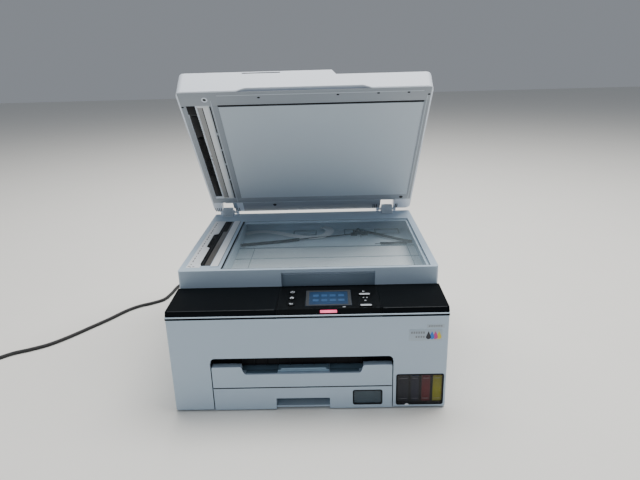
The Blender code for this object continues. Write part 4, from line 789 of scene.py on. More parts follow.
def ink_bay():
    """The black rim of the ink window, its tab, the tank dividers and the ink inside each tank, which
    carries a painted glow.
    """
    rim = bmesh.new()
    across = (WINDOW_LOW.x - 0.2, WINDOW_HIGH.x + 0.2)
    outer, inner = ring(across, (WINDOW_LOW.z - 0.2, WINDOW_HIGH.z + 0.2), 3.4, 2.0, 1.8)
    plate(rim, outer, "Y", FRONT_Y - 0.25, FRONT_Y + 0.6, inner)
    add_piece("ink_window_rim", rim, PIT_BLACK, "base")
    tab = bmesh.new()
    turns = [math.pi * step / 10 for step in range(11)]
    arc = [(133.9 - 3.0 * math.cos(turn), 5.4 + 2.6 * math.sin(turn)) for turn in turns]
    plate(tab, arc, "Y", FRONT_Y - 0.5, FRONT_Y + 0.2, edge=0.15)
    add_piece("ink_window_tab", tab, RIM_WHITE, "base")
    depth = (FRONT_Y + 2.2, FRONT_Y + 3.3)
    bounds = [node_box(f"ink_tank_{word}") for word in INKS]
    fins = [
        ((left[1].x - 1.6, right[0].x + 1.6), depth, (6.8, 53.6), 0.2)
        for left, right in zip(bounds, bounds[1:])
    ]
    fins.append(((bounds[0][0].x + 0.4, bounds[-1][1].x - 0.4), depth, (6.8, 10.2), 0.2))
    blocks("tank_dividers", PIT_BLACK, "base", fins)
    for word, (low, high) in zip(INKS, bounds):
        fill = ((low.x + 1.5, high.x - 1.5), (FRONT_Y + 2.15, FRONT_Y + 3.2), (10.0, 49.0), 0.4)
        blocks(f"ink_level_{word}", INK_GLOW[word], "base", [fill])
        xs, ys = (low.x + 3.0, high.x - 3.0), (FRONT_Y + 1.98, FRONT_Y + 2.14)
        marks = [(xs, ys, (tall, tall + 0.5), 0.04) for tall in (14.0, 46.0)]
        blocks(f"ink_marks_{word}", MARK_GREY, "base", marks)


def drop_outline(centre, radius, tall):
    """A drop: round below, drawn to a point above."""
    points = []
    for step in range(17):
        turn = math.radians(150.0 + 240.0 * step / 16)
        points.append((centre[0] + radius * math.cos(turn), centre[1] + radius * math.sin(turn)))
    points.append((centre[0], centre[1] + tall))
    return points


def stickers():
    """The two plain stickers at the right: a card with four drops and lines, and a small outlined one."""
    card = bmesh.new()
    cards = (((134.5, 178.2), (105.0, 122.0), 1.2, 0.18), ((157.5, 181.0), (123.6, 129.4), 0.8, 0.16))
    for xs, zs, radius, proud in cards:
        plate(card, rounded_outline(xs, zs, radius), "Y", FRONT_Y - proud, FRONT_Y + 0.1, edge=0.05)
    add_piece("sticker_cards", card, STICKER, "base")
    bars = []
    rows = (
        ((137.0, 156.0), (115.6, 118.8)),
        ((143.0, 156.0), (109.4, 112.4)),
        ((160.0, 178.6), (125.4, 127.6)),
    )
    for xs, zs in rows:
        count = round((xs[1] - xs[0]) / 3.2)
        for index in range(count):
            start = xs[0] + (xs[1] - xs[0]) * index / count
            bars.append(((start, start + 2.2), (FRONT_Y - 0.24, FRONT_Y - 0.1), zs, 0.05))
    blocks("sticker_bars", MID_GREY, "base", bars)
    drops = (("black", 160.0), ("cyan", 164.6), ("magenta", 169.2), ("yellow", 173.8))
    for index, (word, x) in enumerate(drops):
        bm = bmesh.new()
        face = FRONT_Y - 0.22 - 0.03 * (len(drops) - index)
        plate(bm, drop_outline((x, 110.6), 3.3, 8.6), "Y", face, FRONT_Y - 0.1)
        add_piece(f"sticker_drop_{word}", bm, DROP_LOOKS[word], "base")


casing_rim()
exit_flap()
tray_liner()
tray_shoulders()
bay_gap_shade()
shade_at_split("tray_split_shade", "output_tray", (36.9, 37.5))
shade_at_split("cassette_split_shade", "paper_cassette", (35.8, 36.3))
paper_gauge()
ink_bay()
stickers()
GRIP_X = (-46.0, 28.0)


def painted_grip_shade():
    """Painted shade: a grey-green sheet, darker than the cassette, inside the cassette's pull."""
    xs = (GRIP_X[0] + 0.1, GRIP_X[1] - 0.1)
    rows = ((xs, (-173.6, -172.5), (7.2, 18.9), 0.2), (xs, (-187.0, -172.5), (18.5, 18.95), 0.1))
    blocks("painted_grip_shade", GRIP_SHADE, "paper_cassette", rows)


painted_grip_shade()

# ---- operation panel ----------------------------------------------------------------------------
SCREEN_LOW, SCREEN_HIGH = node_box("touch_screen")
DECK_LOW, DECK_HIGH = node_box("top_deck")
CREASE_Y = -184.5
CREASE_Z = 151.8
DECK_SLOPE = (DECK_HIGH.z - CREASE_Z) / (DECK_HIGH.y - CREASE_Y)
DECK_ANGLE = math.atan(DECK_SLOPE)


def on_deck(x, y, lift=0.0):
    """Carries a shape drawn flat about the origin onto the sloping deck at x, y."""
    place = Matrix.Translation((x, y, CREASE_Z + (y - CREASE_Y) * DECK_SLOPE + lift))
    return place @ Matrix.Rotation(DECK_ANGLE, 4, "X")


def deck_mark(name, shapes, look, body, place):
    """Flat outlines, a fifth of a millimetre thick, laid on the deck or a key."""
    bm = bmesh.new()
    for outline, hole in shapes:
        plate(bm, outline, "Z", 0.0, 0.2, hole)
    bm.transform(place)
    return add_piece(name, bm, look, body)


def box_outline(x0, x1, y0, y1):
    return [(x0, y0), (x1, y0), (x1, y1), (x0, y1)]


def key_top(name):
    low, high = node_box(name)
    return Matrix.Translation(((low.x + high.x) / 2, (low.y + high.y) / 2, high.z + 0.01))


def arc_band(radius, wide, start, end, steps=16):
    """A curved band between two angles in degrees."""
    turns = [math.radians(start + (end - start) * step / steps) for step in range(steps + 1)]
    big = radius + wide / 2
    small = radius - wide / 2
    outer = [(big * math.cos(t), big * math.sin(t)) for t in turns]
    return outer + [(small * math.cos(t), small * math.sin(t)) for t in reversed(turns)]


POWER_SIGN = [(arc_band(2.6, 0.9, 125.0, 415.0), None), (box_outline(-0.45, 0.45, 0.4, 3.6), None)]
HOUSE_HALF = [(3.4, 0.2), (2.4, 0.2), (2.4, -2.8), (0.9, -2.8), (0.9, -0.6)]
HOUSE_SHAPE = [(0.0, 3.4)] + HOUSE_HALF + [(-u, v) for u, v in reversed(HOUSE_HALF)]
ARROW_HEAD = [(-0.8, -1.0), (-3.2, 1.0), (-0.8, 3.0), (-0.8, 1.6)]
ARROW_TAIL = [(2.2, 1.6), (2.2, -2.0), (-1.6, -2.0), (-1.6, -1.2), (1.4, -1.2), (1.4, 0.6), (-0.8, 0.6)]
BAR_SIGN = [(rounded_outline((-7.4, 7.4), (-2.3, 2.3), 1.6), None)]
KEY_SIGNS = {
    "power": POWER_SIGN,
    "home": [(HOUSE_SHAPE, None)],
    "back": [(ARROW_HEAD + ARROW_TAIL, None)],
    "start": BAR_SIGN,
    "stop": BAR_SIGN,
}
for word, shapes in KEY_SIGNS.items():
    deck_mark(f"{word}_sign", shapes, MARK_WHITE, f"key_{word}", key_top(f"key_{word}"))
DOT_PAIR = [(circle_outline((side * 2.4, 0.0), 1.1, 12), None) for side in (-1, 1)]
SMALL_SIGNS = (
    ("start_symbol", 78.0, -134.6, [([(-1.6, 2.0), (-1.6, -2.0), (2.0, 0.0)], None)]),
    ("count_symbol", 79.0, -153.9, DOT_PAIR),
    ("drop_symbol", 78.7, -162.6, [(circle_outline((0.0, 0.0), 1.4, 14), None)]),
    ("sound_symbol", 49.4, -180.2, [(rounded_outline((-2.0, 2.0), (-0.9, 0.9), 0.6), None)]),
)
for name, x, y, shapes in SMALL_SIGNS:
    deck_mark(name, shapes, MARK_WHITE, "panel", on_deck(x, y, 0.03))


def screen_frame():
    """The grey surround of the screen, and the lit picture with its generic tiles."""
    x0, x1, y0, y1 = SCREEN_LOW.x, SCREEN_HIGH.x, SCREEN_LOW.y, SCREEN_HIGH.y
    mid = ((x0 + x1) / 2, (y0 + y1) / 2)
    half = ((x1 - x0) / 2, (y1 - y0) / 2)
    outer = rounded_outline((-half[0] + 0.2, half[0] - 0.2), (-half[1] + 0.2, half[1] - 0.2), 0.8)
    inner = rounded_outline((-half[0] + 4.6, half[0] - 4.6), (-half[1] + 3.4, half[1] - 4.4), 0.6)
    place = on_deck(mid[0], mid[1], 0.0)
    deck_mark("screen_frame", [(outer, inner)], SCREEN_GREY, "panel", place)
    tile = (4.0, 3.3)
    tiles = []
    for row in (-1, 1):
        for column in (-1.5, -0.5, 0.5, 1.5):
            u = column * 11.6
            v = row * 7.2 - 0.4
            shape = rounded_outline((u - tile[0], u + tile[0]), (v - tile[1], v + tile[1]), 0.9)
            tiles.append((shape, None))
    deck_mark("screen_tiles", tiles, SCREEN_TILE, "panel", on_deck(mid[0], mid[1], 0.02))


screen_frame()


def crease_highlights():
    """A painted highlight: the fine bright line where the deck folds, on both sides of the panel."""
    bm = bmesh.new()
    for xs in ((DECK_LOW.x + 3.0, PANEL_LOW.x - 1.6), (PANEL_HIGH.x + 1.6, DECK_HIGH.x - 3.0)):
        slab(bm, xs, (-0.35, 0.35), (-0.25, 0.12), 0.12, on_deck(0.0, CREASE_Y, 0.0))
    return add_piece("deck_crease_painted_highlight", bm, DECK_HIGHLIGHT, "upper_unit")


crease_highlights()

# ---- scanner ------------------------------------------------------------------------------------
SCAN_TOP = 179.6
STRIP_LOW, STRIP_HIGH = node_box("feeder_glass_strip")
BED_Z = 144.0
BED_X = (-128.0, 181.0)
DIVIDER_Y = (-97.0, 129.0)
COMB_TEETH = 44
COMB_LONG = range(14, 31)


def feeder_ramp():
    """The stepped white ramp beside the feeder's reading window, with its row of slots in painted shade."""
    bm = bmesh.new()
    y0, y1, y2, y3 = STRIP_LOW.y + 5.0, STRIP_LOW.y + 80.0, STRIP_LOW.y + 147.0, STRIP_HIGH.y
    edge_x = (-159.0, -165.6, -158.0)
    left = -177.0
    shape = [
        (left, STRIP_LOW.y - 8.0),
        (edge_x[0] + 2.0, STRIP_LOW.y - 8.0),
        (edge_x[0] + 2.0, y0 - 2.0),
        (edge_x[0], y0),
        (edge_x[0], y1 - 3.0),
        (edge_x[1], y1 + 3.0),
        (edge_x[1], y2 - 2.0),
        (edge_x[2], y2 + 2.0),
        (edge_x[2], y3),
        (left, y3),
    ]
    plate(bm, shape, "Z", SCAN_TOP - 0.2, SCAN_TOP + 0.45, edge=0.25)
    add_piece("feeder_ramp", bm, RIM_WHITE, "upper_unit")
    level = (SCAN_TOP + 0.4, SCAN_TOP + 0.52)
    slots = []
    for index, y in enumerate(stepped(STRIP_LOW.y + 4.0, 11.3, 19)):
        slots.append(((-172.6, -171.2), (y, y + (6.4 if index % 3 else 3.0)), level, 0.05))
    for x, y in ((-171.0, STRIP_LOW.y - 4.5), (-166.5, STRIP_LOW.y - 4.0), (-174.0, STRIP_LOW.y - 2.0)):
        slots.append(((x - 1.4, x + 1.4), (y - 0.9, y + 0.9), level, 0.05))
    blocks("feeder_ramp_slot_shade", PIT_BLACK, "upper_unit", slots)


def feeder_comb():
    """The ribbed black guide beside the reading window, and the window itself."""
    teeth = []
    for index, y in enumerate(between(STRIP_LOW.y + 6.0, STRIP_HIGH.y - 6.0, COMB_TEETH)):
        inner = -158.4 if index % 4 else -164.6
        if index not in COMB_LONG:
            inner = -157.6
        teeth.append(((inner, -154.6), (y - 0.7, y + 0.7), (SCAN_TOP - 0.5, SCAN_TOP + 0.5), 0.15))
    ends = (STRIP_LOW.y + 2.0, STRIP_HIGH.y - 2.0)
    teeth.append(((-155.4, -154.0), ends, (SCAN_TOP - 0.5, SCAN_TOP + 0.45), 0.15))
    blocks("feeder_comb", DARK, "upper_unit", teeth)
    near = STRIP_LOW.y + 1.0
    low = SCAN_TOP - 0.4
    window = (
        ((-151.6, -143.2), (near, STRIP_HIGH.y - 62.0), (low, SCAN_TOP + 0.1), 0.05),
        ((-145.6, -143.2), (near, STRIP_HIGH.y - 2.0), (low, SCAN_TOP + 0.12), 0.05),
    )
    blocks("reading_window", WINDOW_BROWN, "upper_unit", window)


def painted_scoop_shade():
    """Painted shade: a darker sheet on the back of the finger scoop in the scanner's front."""
    row = ((-37.8, 95.8), (-106.3, -105.7), (142.2, 168.6), 0.15)
    blocks("painted_scoop_shade", SCOOP_SHADE, "upper_unit", [row])


def glass_surround():
    """The fine dark gasket round the glass, wider beside the divider, and the divider's bevelled top."""
    x0, x1, y0, y1 = GLASS_LOW.x, GLASS_HIGH.x, GLASS_LOW.y, GLASS_HIGH.y
    top = (SCAN_TOP - 0.25, SCAN_TOP + 0.04)
    gasket = (
        ((x0 - 0.4, x0 + 2.2), (y0 - 0.2, y1 + 0.2), top, 0.03),
        ((x0 + 2.0, x1), (y0 - 0.3, y0 + 0.4), top, 0.03),
        ((x0 + 2.0, x1), (y1 - 0.4, y1 + 0.3), top, 0.03),
        ((x1 - 0.4, x1 + 0.3), (y0, y1), top, 0.03),
    )
    blocks("glass_gasket", PIT_BLACK, "upper_unit", gasket)
    cap = ((-141.6, -131.0), DIVIDER_Y, (SCAN_TOP + 0.7, SCAN_TOP + 1.05), 0.12)
    blocks("divider_cap", RIM_WHITE, "upper_unit", [cap])
    # Painted shade in the groove beside the divider's top.
    groove = ((-131.0, -129.7), DIVIDER_Y, (SCAN_TOP + 0.9, SCAN_TOP + 1.02), 0.03)
    blocks("divider_groove_shade", MID_GREY, "upper_unit", [groove])


def scanner_bed():
    """The bed below the glass: a pale front, two long steps, and a raised rear with frames, darker as
    painted shade.
    """
    floor = (BED_X, (-101.0, 75.0), (BED_Z - 0.4, BED_Z + 0.8), 0.3)
    blocks("bed_floor", BED_PALE, "upper_unit", [floor])
    rear = (BED_X, (75.5, 176.0), (BED_Z - 0.4, BED_Z + 1.6), 0.4)
    blocks("bed_rear", BED_SHADED, "upper_unit", [rear])
    steps = []
    for y, high in ((75.0, 2.6), (23.5, 1.6)):
        steps.append((BED_X, (y - 0.7, y + 0.7), (BED_Z, BED_Z + high), 0.2))
    for x in (-100.0, 168.0):
        steps.append(((x - 0.5, x + 0.5), (-100.0, 74.0), (BED_Z, BED_Z + 1.2), 0.15))
    blocks("bed_steps", BED_LINE, "upper_unit", steps)
    frames = bmesh.new()
    corners = (
        ((118.0, 164.0), (140.0, 168.0)),
        ((-36.0, 8.0), (140.0, 166.0)),
        ((60.0, 100.0), (140.0, 170.0)),
    )
    for xs, ys in corners:
        outer, inner = ring(xs, ys, 2.0, 2.0, 1.2)
        plate(frames, outer, "Z", BED_Z + 1.2, BED_Z + 3.0, inner)
    slab(frames, (89.4, 90.6), (118.0, 172.0), (BED_Z + 1.0, BED_Z + 3.2), 0.2)
    add_piece("bed_frames", frames, BED_LINE, "upper_unit")
    wall = ((-129.5, -127.0), (-100.0, 172.0), (BED_Z, SCAN_TOP - 3.2), 0.3)
    blocks("bed_wall", BED_SHADED, "upper_unit", [wall])


RIBBON_RUN = (
    (-126.0, 146.0, 149.0),
    (-114.0, 154.0, 149.4),
    (-97.0, 158.0, 149.8),
    (-75.0, 153.0, 149.6),
    (-53.0, 142.0, 149.2),
    (-31.0, 129.0, 148.8),
    (-10.0, 121.0, 148.6),
    (11.0, 121.0, 148.8),
    (26.0, 131.0, 149.6),
    (33.0, 146.0, 151.0),
    (30.0, 160.0, 152.4),
    (20.0, 168.0, 153.2),
)
CABLE_RUN = ((-126.0, 84.0, 149.0), (-99.0, 90.0, 149.0), (-56.0, 99.0, 149.0), (-23.0, 109.0, 149.0))
WIRE_RUN = ((-26.0, 108.0, 149.0), (11.0, 118.0, 149.0), (45.0, 125.0, 149.0), (80.0, 133.0, 150.0))
ARM_RUN = (
    (98.0, 140.0, 151.0),
    (122.0, 124.0, 150.5),
    (146.0, 104.0, 150.0),
    (166.0, 90.0, 149.5),
    (178.0, 83.0, 149.5),
)
SPRING_Y, SPRING_Z = 78.5, 148.4
SPRING_R = 2.2
SPRING_TURNS = 22
SPRING_STEPS = 8


def scanner_works():
    """What shows through the glass: the flat cable, the drive cable, its bracket, arm and spring."""
    ribbon = bmesh.new()
    run = smooth([Vector(point) for point in RIBBON_RUN], 5)
    sweep(ribbon, run, [(-8.0, -0.2), (8.0, -0.2), (8.0, 0.2), (-8.0, 0.2)])
    add_piece("flat_cable", ribbon, RIBBON, "upper_unit")
    wire("drive_cable", CABLE_RUN, 2.6, PIT_BLACK, "upper_unit")
    wire("drive_wire", WIRE_RUN, 1.1, PIT_BLACK, "upper_unit")
    bracket = bmesh.new()
    foot = BED_Z + 1.5
    slab(bracket, (76.0, 96.0), (138.0, 148.0), (foot, 153.0), 0.8)
    slab(bracket, (72.0, 84.0), (132.0, 138.5), (foot, 150.5), 0.6)
    slab(bracket, (92.0, 104.0), (134.0, 141.0), (foot, 151.5), 0.6)
    rod_between(bracket, (86.0, 143.0, 152.0), (86.0, 143.0, 156.5), 3.2, 16, 2.4)
    add_piece("arm_bracket", bracket, PIT_BLACK, "upper_unit")
    wire("drive_arm", ARM_RUN, 2.4, PIT_BLACK, "upper_unit")
    spring = bmesh.new()
    points = []
    for index in range(SPRING_TURNS * SPRING_STEPS + 1):
        part = index / (SPRING_TURNS * SPRING_STEPS)
        angle = 2 * math.pi * SPRING_TURNS * part
        y = SPRING_Y + SPRING_R * math.cos(angle)
        points.append(Vector((122.0 + 46.0 * part, y, SPRING_Z + SPRING_R * math.sin(angle))))
    sweep(spring, points, circle_outline((0.0, 0.0), 0.8, 6))
    rod_between(spring, (112.0, 77.5, SPRING_Z), (123.0, SPRING_Y, SPRING_Z), 0.7, 8)
    rod_between(spring, (167.0, SPRING_Y, SPRING_Z), (179.0, 80.5, SPRING_Z), 0.7, 8)
    add_piece("tension_spring", spring, PIT_BLACK, "upper_unit")


feeder_ramp()
feeder_comb()
painted_scoop_shade()
glass_surround()
scanner_bed()
scanner_works()

# ---- lid, drawn closed --------------------------------------------------------------------------
LID_UNDER = 181.1
LID_FRONT = -130.7
COVER_TOP = 218.8
TRAY_TOP = 218.4
EJECT_LEVEL = (209.2, 210.4)
READING_Y = (-98.0, 133.0)
PAD_X = (-129.0, 176.0)
PAD_Y = (-99.0, 135.0)
FACE = (LID_UNDER - 0.3, LID_UNDER + 0.4)
LID_HOLES = (
    (-67.0, -116.0),
    (49.0, -118.0),
    (108.0, -119.0),
    (152.0, -119.0),
    (182.0, -114.0),
    (-182.5, -100.0),
)
BOSS_AT = (-147.0, -114.0)


def lid_piece(name, bm, look):
    return add_piece(name, bm, look, "lid", closed_lid=True)


def lid_blocks(name, look, slot, *rows):
    return blocks(name, look, "lid", rows, closed_lid=True)


def lid_underside():
    """Gaps, holes and slots in painted shade, ridges with a painted highlight, a screw, feet and a latch on
    the lid's underside.
    """
    # Painted shade: the gap in front of the pad, the line by the reading area, the holes and the slots.
    dark = bmesh.new()
    slab(dark, (PAD_X[0] - 1.0, PAD_X[1] + 0.6), (PAD_Y[0] - 3.4, PAD_Y[0] - 0.3), FACE, 0.05)
    slab(dark, (-153.9, -152.7), READING_Y, FACE, 0.05)
    for x, y in LID_HOLES:
        plate(dark, rounded_outline((x - 2.0, x + 2.0), (y - 1.3, y + 1.3), 1.2), "Z", *FACE)
    lengths = ((-100.0, -43.0), (-37.0, -4.0), (1.0, 33.0), (38.0, 76.0), (81.0, 134.0))
    for low, high in lengths:
        slab(dark, (-142.4, -140.6), (low, high), FACE, 0.05)
    for x in (116.0, 119.2, 122.4, 158.6, 161.4):
        slab(dark, (x, x + 1.4), (166.0, 178.0), FACE, 0.05)
    for x in (-185.0, -181.5, -178.0, -174.5, -146.5, -143.0, -139.5):
        slab(dark, (x, x + 1.2), (168.0, 178.5), FACE, 0.05)
    lid_piece("lid_gap_shade", dark, PIT_BLACK)
    # The ridges are lighter than the lining round them: a painted highlight along them.
    lid_blocks(
        "lid_ridge_highlights",
        LIGHT_GREY,
        "case_white",
        ((-128.0, 174.0), (-122.2, -120.9), (LID_UNDER - 0.45, LID_UNDER + 0.4), 0.2),
        ((PAD_X[1] + 3.6, PAD_X[1] + 4.6), (-112.0, 148.0), FACE, 0.12),
        ((-139.0, -138.0), (-112.0, 150.0), FACE, 0.12),
        ((-162.0, 172.0), (150.5, 151.5), FACE, 0.12),
    )
    boss = bmesh.new()
    ring_out = circle_outline(BOSS_AT, 4.6)
    ring_in = circle_outline(BOSS_AT, 2.6)
    plate(boss, ring_out, "Z", LID_UNDER - 0.5, LID_UNDER + 0.3, ring_in)
    lid_piece("screw_boss", boss, LID_GREY)
    screw = bmesh.new()
    plate(screw, circle_outline(BOSS_AT, 2.5), "Z", LID_UNDER - 0.2, LID_UNDER + 0.3)
    lid_piece("boss_screw", screw, DARK)
    bumpers = bmesh.new()
    for x, y in ((167.0, 143.5), (-70.0, 160.0)):
        rod_between(bumpers, (x, y, LID_UNDER + 0.3), (x, y, LID_UNDER - 0.7), 3.6, 20, 3.0)
    lid_piece("lid_bumpers", bumpers, RUBBER)
    lid_blocks(
        "lid_latch",
        LATCH_BLUE,
        "light_grey_plastic",
        ((-148.6, -141.6), (151.5, 168.5), (LID_UNDER - 0.9, LID_UNDER + 0.4), 0.5),
        ((-147.0, -143.2), (154.0, 160.0), (LID_UNDER - 1.2, LID_UNDER), 0.4),
    )


def lid_lining():
    """The greyer moulded surface round the pad, inside the lid's rim."""
    level = (LID_UNDER - 0.12, LID_UNDER + 0.3)
    front, back = PAD_Y[0] - 3.0, PAD_Y[1] + 0.8
    bands = (
        ((-184.6, 184.6), (LID_FRONT + 2.4, front)),
        ((-184.6, 184.6), (back, 150.0)),
        ((-130.0, 130.0), (150.0, 178.0)),
        ((-184.6, -177.0), (front, back)),
        ((-142.8, PAD_X[0] - 0.4), (front, back)),
        ((PAD_X[1] + 0.4, 184.6), (front, back)),
    )
    lid_blocks("lid_lining", UNDER_GREY, "case_white", *[(*band, level, 0.1) for band in bands])


BRUSH_SEED = 7
BRISTLES = 260
BRUSH_Y = -30.0
BRUSH_LONG = 92.0


def feeder_underside():
    """The feeder's reading strip, sheet press, black brush, flaps and lip."""
    strip = ((-152.6, -144.4), READING_Y, (LID_UNDER - 0.55, LID_UNDER + 0.2), 0.25)
    lid_blocks("reading_strip", RIM_WHITE, "pad_white", strip)
    press = ((-160.8, -154.0), READING_Y, (LID_UNDER - 0.32, LID_UNDER + 0.5), 0.2)
    lid_blocks("sheet_press", PRESS_GREY, "light_grey_plastic", press)
    brush = bmesh.new()
    random = Random(BRUSH_SEED)
    for _ in range(BRISTLES):
        y = BRUSH_Y + BRUSH_LONG * random.random()
        bulge = math.sin(math.pi * (y - BRUSH_Y) / BRUSH_LONG)
        root = (-175.5 + 7.0 * random.random(), y, LID_UNDER + 0.6)
        tip = (
            root[0] + 3.0 + 9.0 * bulge * random.random(),
            y + 9.0 * (random.random() - 0.35),
            LID_UNDER - 0.25 * random.random(),
        )
        rod_between(brush, root, tip, 0.6, 5, 0.22)
    lid_piece("feeder_brush", brush, PIT_BLACK)
    flaps = []
    for y0, y1, x0 in ((-104.0, -84.0, -178.6), (-80.0, -34.0, -174.0), (66.0, 126.0, -174.6)):
        flaps.append(((x0, -165.0), (y0, y1), (LID_UNDER - 0.1, LID_UNDER + 2.0), 0.4))
    for y in stepped(-78.0, 5.0, 9):
        flaps.append(((-165.4, -162.8), (y, y + 2.6), (LID_UNDER - 0.2, LID_UNDER + 1.0), 0.2))
    lid_blocks("feeder_flaps", PIT_BLACK, "dark_plastic", *flaps)
    lip = ((-163.6, -161.9), (-100.0, 130.0), (LID_UNDER - 0.3, LID_UNDER + 0.6), 0.2)
    lid_blocks("feeder_lip", LID_GREY, "case_white", lip)


def lid_front():
    """The shade inside the thumb slot."""
    shade = ((-91.4, -35.6), (LID_FRONT + 0.35, LID_FRONT + 1.0), (215.4, 216.9), 0.1)
    lid_blocks("thumb_slot_shade", PIT_BLACK, "dark_plastic", shade)


def lid_top():
    """Seams, grips, ribs and a stop on the feeder's top, seen when the lid is closed or from behind."""
    grip = bmesh.new()
    outer, inner = ring((-150.0, -92.0), (-116.0, -104.0), 5.0, 2.4, 3.4)
    plate(grip, outer, "Z", COVER_TOP - 0.2, COVER_TOP + 0.6, inner)
    for y in stepped(-112.6, 1.9, 4):
        slab(grip, (-146.0, -96.0), (y, y + 0.8), (COVER_TOP - 0.1, COVER_TOP + 0.4), 0.15)
    add_piece("cover_grip", grip, LID_GREY, "feeder_cover", closed_lid=True)
    level = (COVER_TOP - 0.1, COVER_TOP + 0.12)
    seams = [(xs, (-96.0, 120.0), level, 0.04) for xs in ((-168.0, -167.2), (-76.0, -75.2))]
    seams += [((-168.0, -75.2), ys, level, 0.04) for ys in ((-96.8, -96.0), (120.0, 120.8))]
    blocks("cover_seams", MID_GREY, "feeder_cover", seams, closed_lid=True)
    level = (TRAY_TOP, TRAY_TOP + 0.8)
    ribs = [((-52.0, 24.0), (y - 0.8, y + 0.8), level, 0.3) for y in stepped(-90.0, 34.0, 7)]
    blocks("document_tray_ribs", LID_GREY, "document_tray", ribs, closed_lid=True)
    pull = bmesh.new()
    outer, inner = ring((-58.0, -48.0), (-14.0, 38.0), 4.0, 1.6, 2.8)
    plate(pull, outer, "Z", TRAY_TOP, TRAY_TOP + 0.6, inner)
    add_piece("document_tray_pull", pull, MID_GREY, "document_tray", closed_lid=True)
    ribs = [((x - 0.9, x + 0.9), (-96.0, 118.0), EJECT_LEVEL, 0.35) for x in stepped(66.0, 22.0, 5)]
    ribs.append(((60.0, 164.0), (118.0, 120.0), EJECT_LEVEL, 0.35))
    lid_blocks("eject_ribs", LID_GREY, "case_white", *ribs)
    stop = (
        ((150.0, 168.0), (-2.0, 26.0), (209.4, 211.2), 0.8),
        ((153.0, 165.0), (2.0, 22.0), (210.8, 212.4), 0.6),
    )
    lid_blocks("eject_stop", LIGHT_GREY, "light_grey_plastic", *stop)


def hinge_details():
    """Covers and screws on the lid's hinge brackets."""
    covers = bmesh.new()
    screws = bmesh.new()
    for word in ("left", "right"):
        low, high = node_box(f"lid_hinge_{word}")
        mid = (low.x + high.x) / 2
        slab(covers, (mid - 7.0, mid + 7.0), (159.5, 170.5), (194.4, 195.4), 0.3)
        for x in stepped(mid - 5.0, 5.0, 3):
            slab(covers, (x - 0.6, x + 0.6), (157.5, 158.6), (183.0, 192.0), 0.2)
        rod_between(screws, (mid, 165.0, 195.3), (mid, 165.0, 195.8), 2.2, 16)
    add_piece("hinge_covers", covers, LIGHT_GREY, "upper_unit")
    add_piece("hinge_screws", screws, STEEL, "upper_unit")


lid_underside()
lid_lining()
feeder_underside()
lid_front()
lid_top()
hinge_details()

# ---- sides, back and underneath -----------------------------------------------------------------
BACK_Y = CASE_HIGH.y
SIDE_X = CASE_HIGH.x
REAR_SCREWS = (
    (-178.0, 128.0),
    (178.0, 128.0),
    (-124.0, 60.0),
    (122.0, 60.0),
    (178.0, 14.0),
    (-178.0, 52.0),
)


def back_panel():
    """Ports, vents in painted shade, screws with crosses in painted shade, and a blank rating plate on the
    back.
    """
    sunk = (BACK_Y - 0.3, BACK_Y + 0.12)
    # The vent slots are drawn as painted shade.
    vents = [((128.0, 172.0), sunk, (z, z + 2.2), 0.05) for z in stepped(58.0, 6.0, 9)]
    vents += [((-172.0, -130.0), sunk, (z, z + 2.2), 0.05) for z in stepped(70.0, 6.0, 6)]
    blocks("rear_vent_shade", PIT_BLACK, "base", vents)
    ports = bmesh.new()
    for xs, zs in (((128.0, 148.0), (22.0, 40.0)), ((150.0, 167.0), (22.0, 38.0))):
        outer, inner = ring(xs, zs, 1.6, 2.0, 0.8)
        plate(ports, outer, "Y", BACK_Y - 0.4, BACK_Y + 0.6, inner)
    add_piece("port_bezels", ports, DARK, "base")
    ys = (BACK_Y - 0.2, BACK_Y + 0.15)
    wells = (((130.2, 145.8), ys, (24.2, 37.8), 0.05), ((152.2, 164.8), ys, (24.2, 35.8), 0.05))
    blocks("port_wells", PIT_BLACK, "base", wells)
    ys = (BACK_Y + 0.1, BACK_Y + 0.3)
    metal = [((x - 0.3, x + 0.3), ys, (32.0, 37.0), 0.05) for x in stepped(132.5, 1.5, 8)]
    metal.append(((154.5, 162.5), (BACK_Y + 0.1, BACK_Y + 0.4), (28.6, 31.4), 0.1))
    blocks("port_contacts", STEEL, "base", metal)
    screws = bmesh.new()
    # The screw crosses are drawn as painted shade.
    marks = bmesh.new()
    for x, z in REAR_SCREWS:
        rod_between(screws, (x, BACK_Y - 0.2, z), (x, BACK_Y + 0.7, z), 3.0, 20, 2.6)
        for turn in (0.0, math.pi / 2):
            spin = Matrix.Translation((x, BACK_Y + 0.72, z)) @ Matrix.Rotation(turn + 0.5, 4, "Y")
            slab(marks, (-1.8, 1.8), (-0.05, 0.05), (-0.35, 0.35), 0.02, spin)
    add_piece("rear_screws", screws, STEEL, "base")
    add_piece("rear_screw_cross_shade", marks, PIT_BLACK, "base")
    label = bmesh.new()
    shape = rounded_outline((126.0, 176.0), (114.0, 124.0), 1.0)
    plate(label, shape, "Y", BACK_Y - 0.1, BACK_Y + 0.15, edge=0.04)
    add_piece("rating_plate", label, STICKER, "base")


